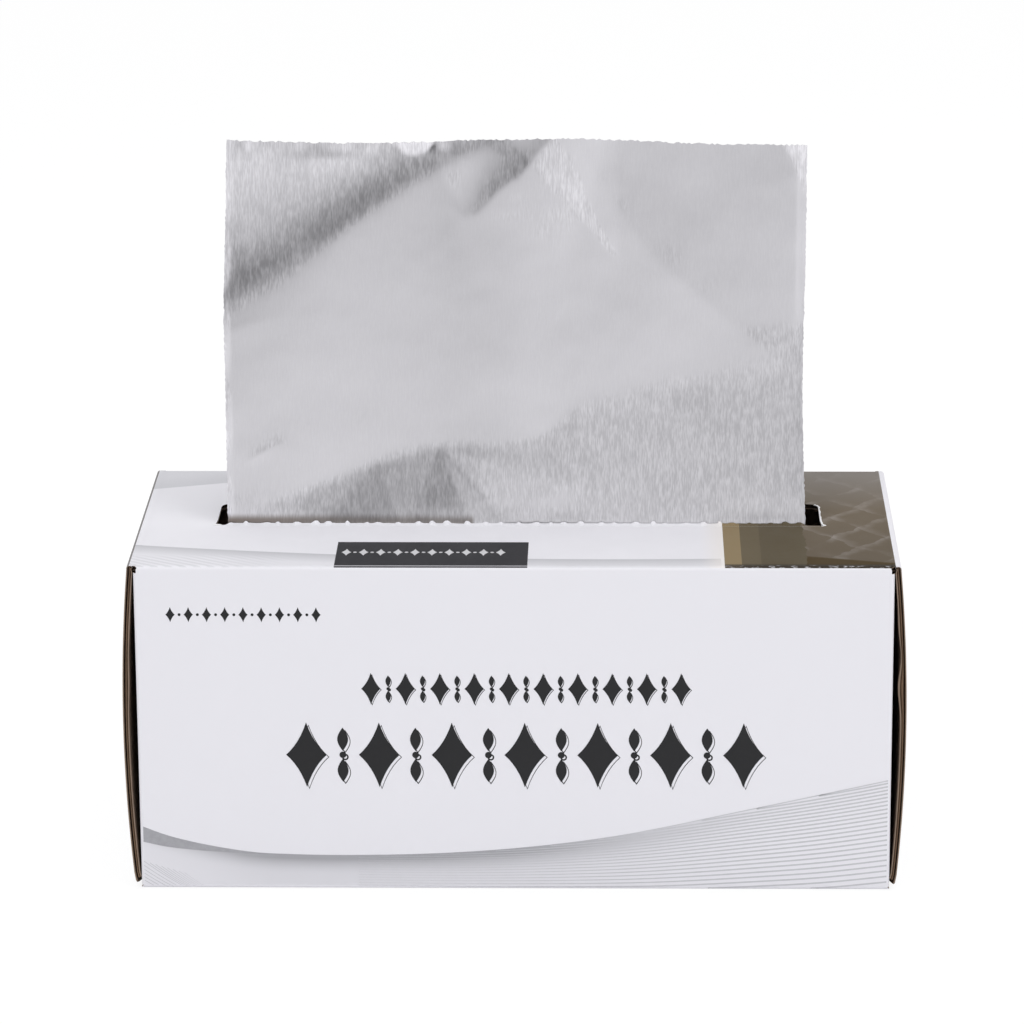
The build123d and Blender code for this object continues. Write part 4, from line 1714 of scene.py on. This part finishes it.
CAMERA_PLACE = (22.49 * MM, -1016.29 * MM, 381.69 * MM)
CAMERA_YAW, CAMERA_PITCH, CAMERA_ROLL = radians(-1.326), radians(16.80), radians(0.317)
CAMERA_LENS, CAMERA_SENSOR = 169.07, 36.0
LAMP_TARGET = Vector((0, 0, 0.08))
FLOOR_REACH = 6.0
RING_RADIUS, RING_TOP = 1.6, 3.1
PLAIN_SHARE = 0.2  # how dark the ring is at its foot, as a share of its darkest


def camera_turn():
    """Which way the camera points, from its yaw, pitch and roll."""
    level = cos(CAMERA_PITCH)
    forward = Vector((sin(CAMERA_YAW) * level, cos(CAMERA_YAW) * level, -sin(CAMERA_PITCH)))
    right = Vector((cos(CAMERA_YAW), -sin(CAMERA_YAW), 0))
    down = forward.cross(right)
    across = right * cos(CAMERA_ROLL) + down * sin(CAMERA_ROLL)
    drop = down * cos(CAMERA_ROLL) - right * sin(CAMERA_ROLL)
    return Matrix((across, -drop, -forward)).transposed().to_quaternion()


def area_lamp(name, place, size, power):
    """A big soft lamp that points at the object."""
    data = bpy.data.lights.new(name, "AREA")
    data.shape = "RECTANGLE"
    data.size, data.size_y = size
    data.energy = power
    lamp = bpy.data.objects.new(name, data)
    lamp.location = place
    lamp.rotation_mode = "QUATERNION"
    lamp.rotation_quaternion = (LAMP_TARGET - Vector(place)).to_track_quat("-Z", "Y")
    lamp.visible_glossy = False
    bpy.context.scene.collection.objects.link(lamp)


def stage_mesh(name, points, faces, material):
    """A mesh that belongs to the stage and not to the object."""
    mesh = bpy.data.meshes.new(name)
    mesh.from_pydata(points, [], faces)
    mesh.materials.append(material)
    made = bpy.data.objects.new(name, mesh)
    bpy.context.scene.collection.objects.link(made)
    return made


def seen_directly(tree):
    """The light path, and a share that is 1 for what the camera and mirroring surfaces see."""
    path = put(tree, "ShaderNodeLightPath")
    shows = maths(tree, "ADD", path.outputs["Is Camera Ray"], path.outputs["Is Glossy Ray"], clamp=True)
    return path, shows


def white_background():
    """A room that lights softly and looks plain white to the camera, in metal and through glass."""
    world = bpy.data.worlds.new("room")
    world.use_nodes = True
    tree = world.node_tree
    output = tree.nodes["World Output"]
    light = tree.nodes["Background"]
    light.inputs["Color"].default_value = (1, 1, 1, 1)
    light.inputs["Strength"].default_value = settings().stage.world
    seen = put(tree, "ShaderNodeBackground", {"Color": (1, 1, 1, 1), "Strength": 1.0})
    path, shows = seen_directly(tree)
    shows = maths(tree, "ADD", shows, path.outputs["Is Transmission Ray"], clamp=True)
    mixed = put(tree, "ShaderNodeMixShader", {0: shows, 1: light.outputs[0], 2: seen.outputs[0]})
    tree.links.new(mixed.outputs[0], output.inputs["Surface"])
    bpy.context.scene.world = world


def floor_finish():
    """A white floor: plain to the camera apart from the object's shadow."""
    material, tree, shader = new_material("stage_floor")
    coordinates = object_coordinates(tree)
    cloud = noise(tree, coordinates, 2, 2)
    colour = mix(tree, cloud, (0.93, 0.93, 0.94), (0.95, 0.95, 0.955))
    tree.links.new(colour, shader.inputs["Base Color"])
    shader.inputs["Roughness"].default_value = 0.9
    shader.inputs["Specular IOR Level"].default_value = 0.1
    glow = put(tree, "ShaderNodeEmission", {"Color": (1, 1, 1, 1), "Strength": 1.03})
    share = times(tree, seen_directly(tree)[1], 0.85)
    mixed = put(tree, "ShaderNodeMixShader", {0: share, 1: shader.outputs[0], 2: glow.outputs[0]})
    tree.links.new(mixed.outputs[0], tree.nodes["Material Output"].inputs["Surface"])
    return material


def ring_finish():
    """A dark cover that thins out downward, with a lighter window at the front right."""
    material = bpy.data.materials.new("stage_ring")
    material.use_nodes = True
    tree = material.node_tree
    tree.nodes.clear()
    _, x, y, z = object_place(tree)
    rise = remap(tree, z, 0.35, 0.98, PLAIN_SHARE, 1.0, smooth=True)
    turn = maths(tree, "ARCTAN2", x, times(tree, y, -1.0))
    window = glow_bump(tree, turn, radians(32), radians(22))
    corner = glow_bump(tree, turn, radians(-25), radians(20))
    share = minus(tree, plus(tree, 1.0, times(tree, corner, 0.25)), times(tree, window, 0.55))
    cover = maths(tree, "MULTIPLY", times(tree, rise, share), settings().stage.shade, clamp=True)
    clear = put(tree, "ShaderNodeBsdfTransparent")
    dark = put(tree, "ShaderNodeEmission", {"Color": (0, 0, 0, 1), "Strength": 0.0})
    mixed = put(tree, "ShaderNodeMixShader", {0: cover, 1: clear.outputs[0], 2: dark.outputs[0]})
    output = put(tree, "ShaderNodeOutputMaterial")
    tree.links.new(mixed.outputs[0], output.inputs["Surface"])
    return material


def glow_bump(tree, turn, middle, width):
    """A soft bump round one direction, from 0 to 1."""
    off = maths(tree, "DIVIDE", minus(tree, turn, middle), width)
    squared = maths(tree, "POWER", maths(tree, "ABSOLUTE", off), 2.0)
    return maths(tree, "EXPONENT", times(tree, squared, -1.0))


def dark_ring():
    """A high dark ring round the stage, which only metal and gloss can see."""
    points, faces = [], []
    count = 96
    for number in range(count):
        angle = 2 * pi * number / count
        for height in (0.0, RING_TOP):
            points.append((RING_RADIUS * sin(angle), RING_RADIUS * cos(angle), height))
        after = (number + 1) % count
        faces.append((2 * number, 2 * number + 1, 2 * after + 1, 2 * after))
    ring = stage_mesh("stage_ring", points, faces, ring_finish())
    ring.visible_camera = ring.visible_diffuse = ring.visible_shadow = False
    ring.visible_transmission = ring.visible_volume_scatter = False


class SCENE_OT_foil_roll_stage(bpy.types.Operator):
    """Set up the floor, the room, the lamps and the camera"""

    bl_idname = "scene.foil_roll_stage"
    bl_label = "Stage"
    bl_options = {"REGISTER", "UNDO"}

    def execute(self, context):
        scene = context.scene
        scene.view_settings.view_transform = "Standard"
        white_background()
        reach = FLOOR_REACH
        corners = [(-reach, -reach, 0), (reach, -reach, 0), (reach, reach, 0), (-reach, reach, 0)]
        floor = stage_mesh("stage_floor", corners, [(0, 1, 2, 3)], floor_finish())
        floor.location.z = -0.02 * MM
        dark_ring()
        stage = settings().stage
        area_lamp("key_lamp", (-0.7, -1.1, 1.15), (0.9, 0.7), stage.key)
        area_lamp("top_lamp", (0.1, 0.1, 1.6), (1.2, 1.2), stage.top)
        area_lamp("fill_lamp", (1.1, -0.8, 0.75), (0.7, 0.7), stage.fill)

        data = bpy.data.cameras.new("camera")
        data.lens, data.sensor_width = CAMERA_LENS, CAMERA_SENSOR
        data.clip_start, data.clip_end = 0.05, 20
        camera = bpy.data.objects.new("camera", data)
        camera.location = CAMERA_PLACE
        camera.rotation_mode = "QUATERNION"
        camera.rotation_quaternion = camera_turn()
        scene.collection.objects.link(camera)
        scene.camera = camera
        return {"FINISHED"}


class VIEW3D_PT_foil_roll(bpy.types.Panel):
    """Lists the pieces and their settings"""

    bl_label = "Foil Roll"
    bl_idname = "VIEW3D_PT_foil_roll"
    bl_space_type = "VIEW_3D"
    bl_region_type = "UI"
    bl_category = "Foil Roll"

    def draw(self, context):
        layout = self.layout
        for operator in OPERATORS:
            layout.operator(operator.bl_idname)
        for group in ("board", "slot", "foil", "inks", "stage"):
            box = layout.box()
            values = getattr(context.scene.foil_roll, group)
            box.label(text=group.capitalize())
            for name in values.__annotations__:
                box.prop(values, name)


OPERATORS = (
    SCENE_OT_foil_roll_stage,
    MESH_OT_foil_roll_carton,
    MESH_OT_foil_roll_end_flaps,
    MESH_OT_foil_roll_winding,
    MESH_OT_foil_roll_sheet,
    MESH_OT_foil_roll_front_print,
)
GROUPS = (BoardSettings, SlotSettings, FoilSettings, PrintSettings, StageSettings, FoilRollSettings)
CLASSES = (*GROUPS, *OPERATORS, VIEW3D_PT_foil_roll)


def register():
    """Registers the classes and hangs the settings on the scene."""
    for item in CLASSES:
        bpy.utils.register_class(item)
    bpy.types.Scene.foil_roll = PointerProperty(type=FoilRollSettings)


def unregister():
    """Takes the settings and the classes away again."""
    del bpy.types.Scene.foil_roll
    for item in reversed(CLASSES):
        bpy.utils.unregister_class(item)


def main():
    register()
    bpy.ops.scene.foil_roll_stage()
    bpy.ops.mesh.foil_roll_carton()
    bpy.ops.mesh.foil_roll_end_flaps()
    bpy.ops.mesh.foil_roll_winding()
    bpy.ops.mesh.foil_roll_sheet()
    bpy.ops.mesh.foil_roll_front_print()


if __name__ == "__main__":
    main()
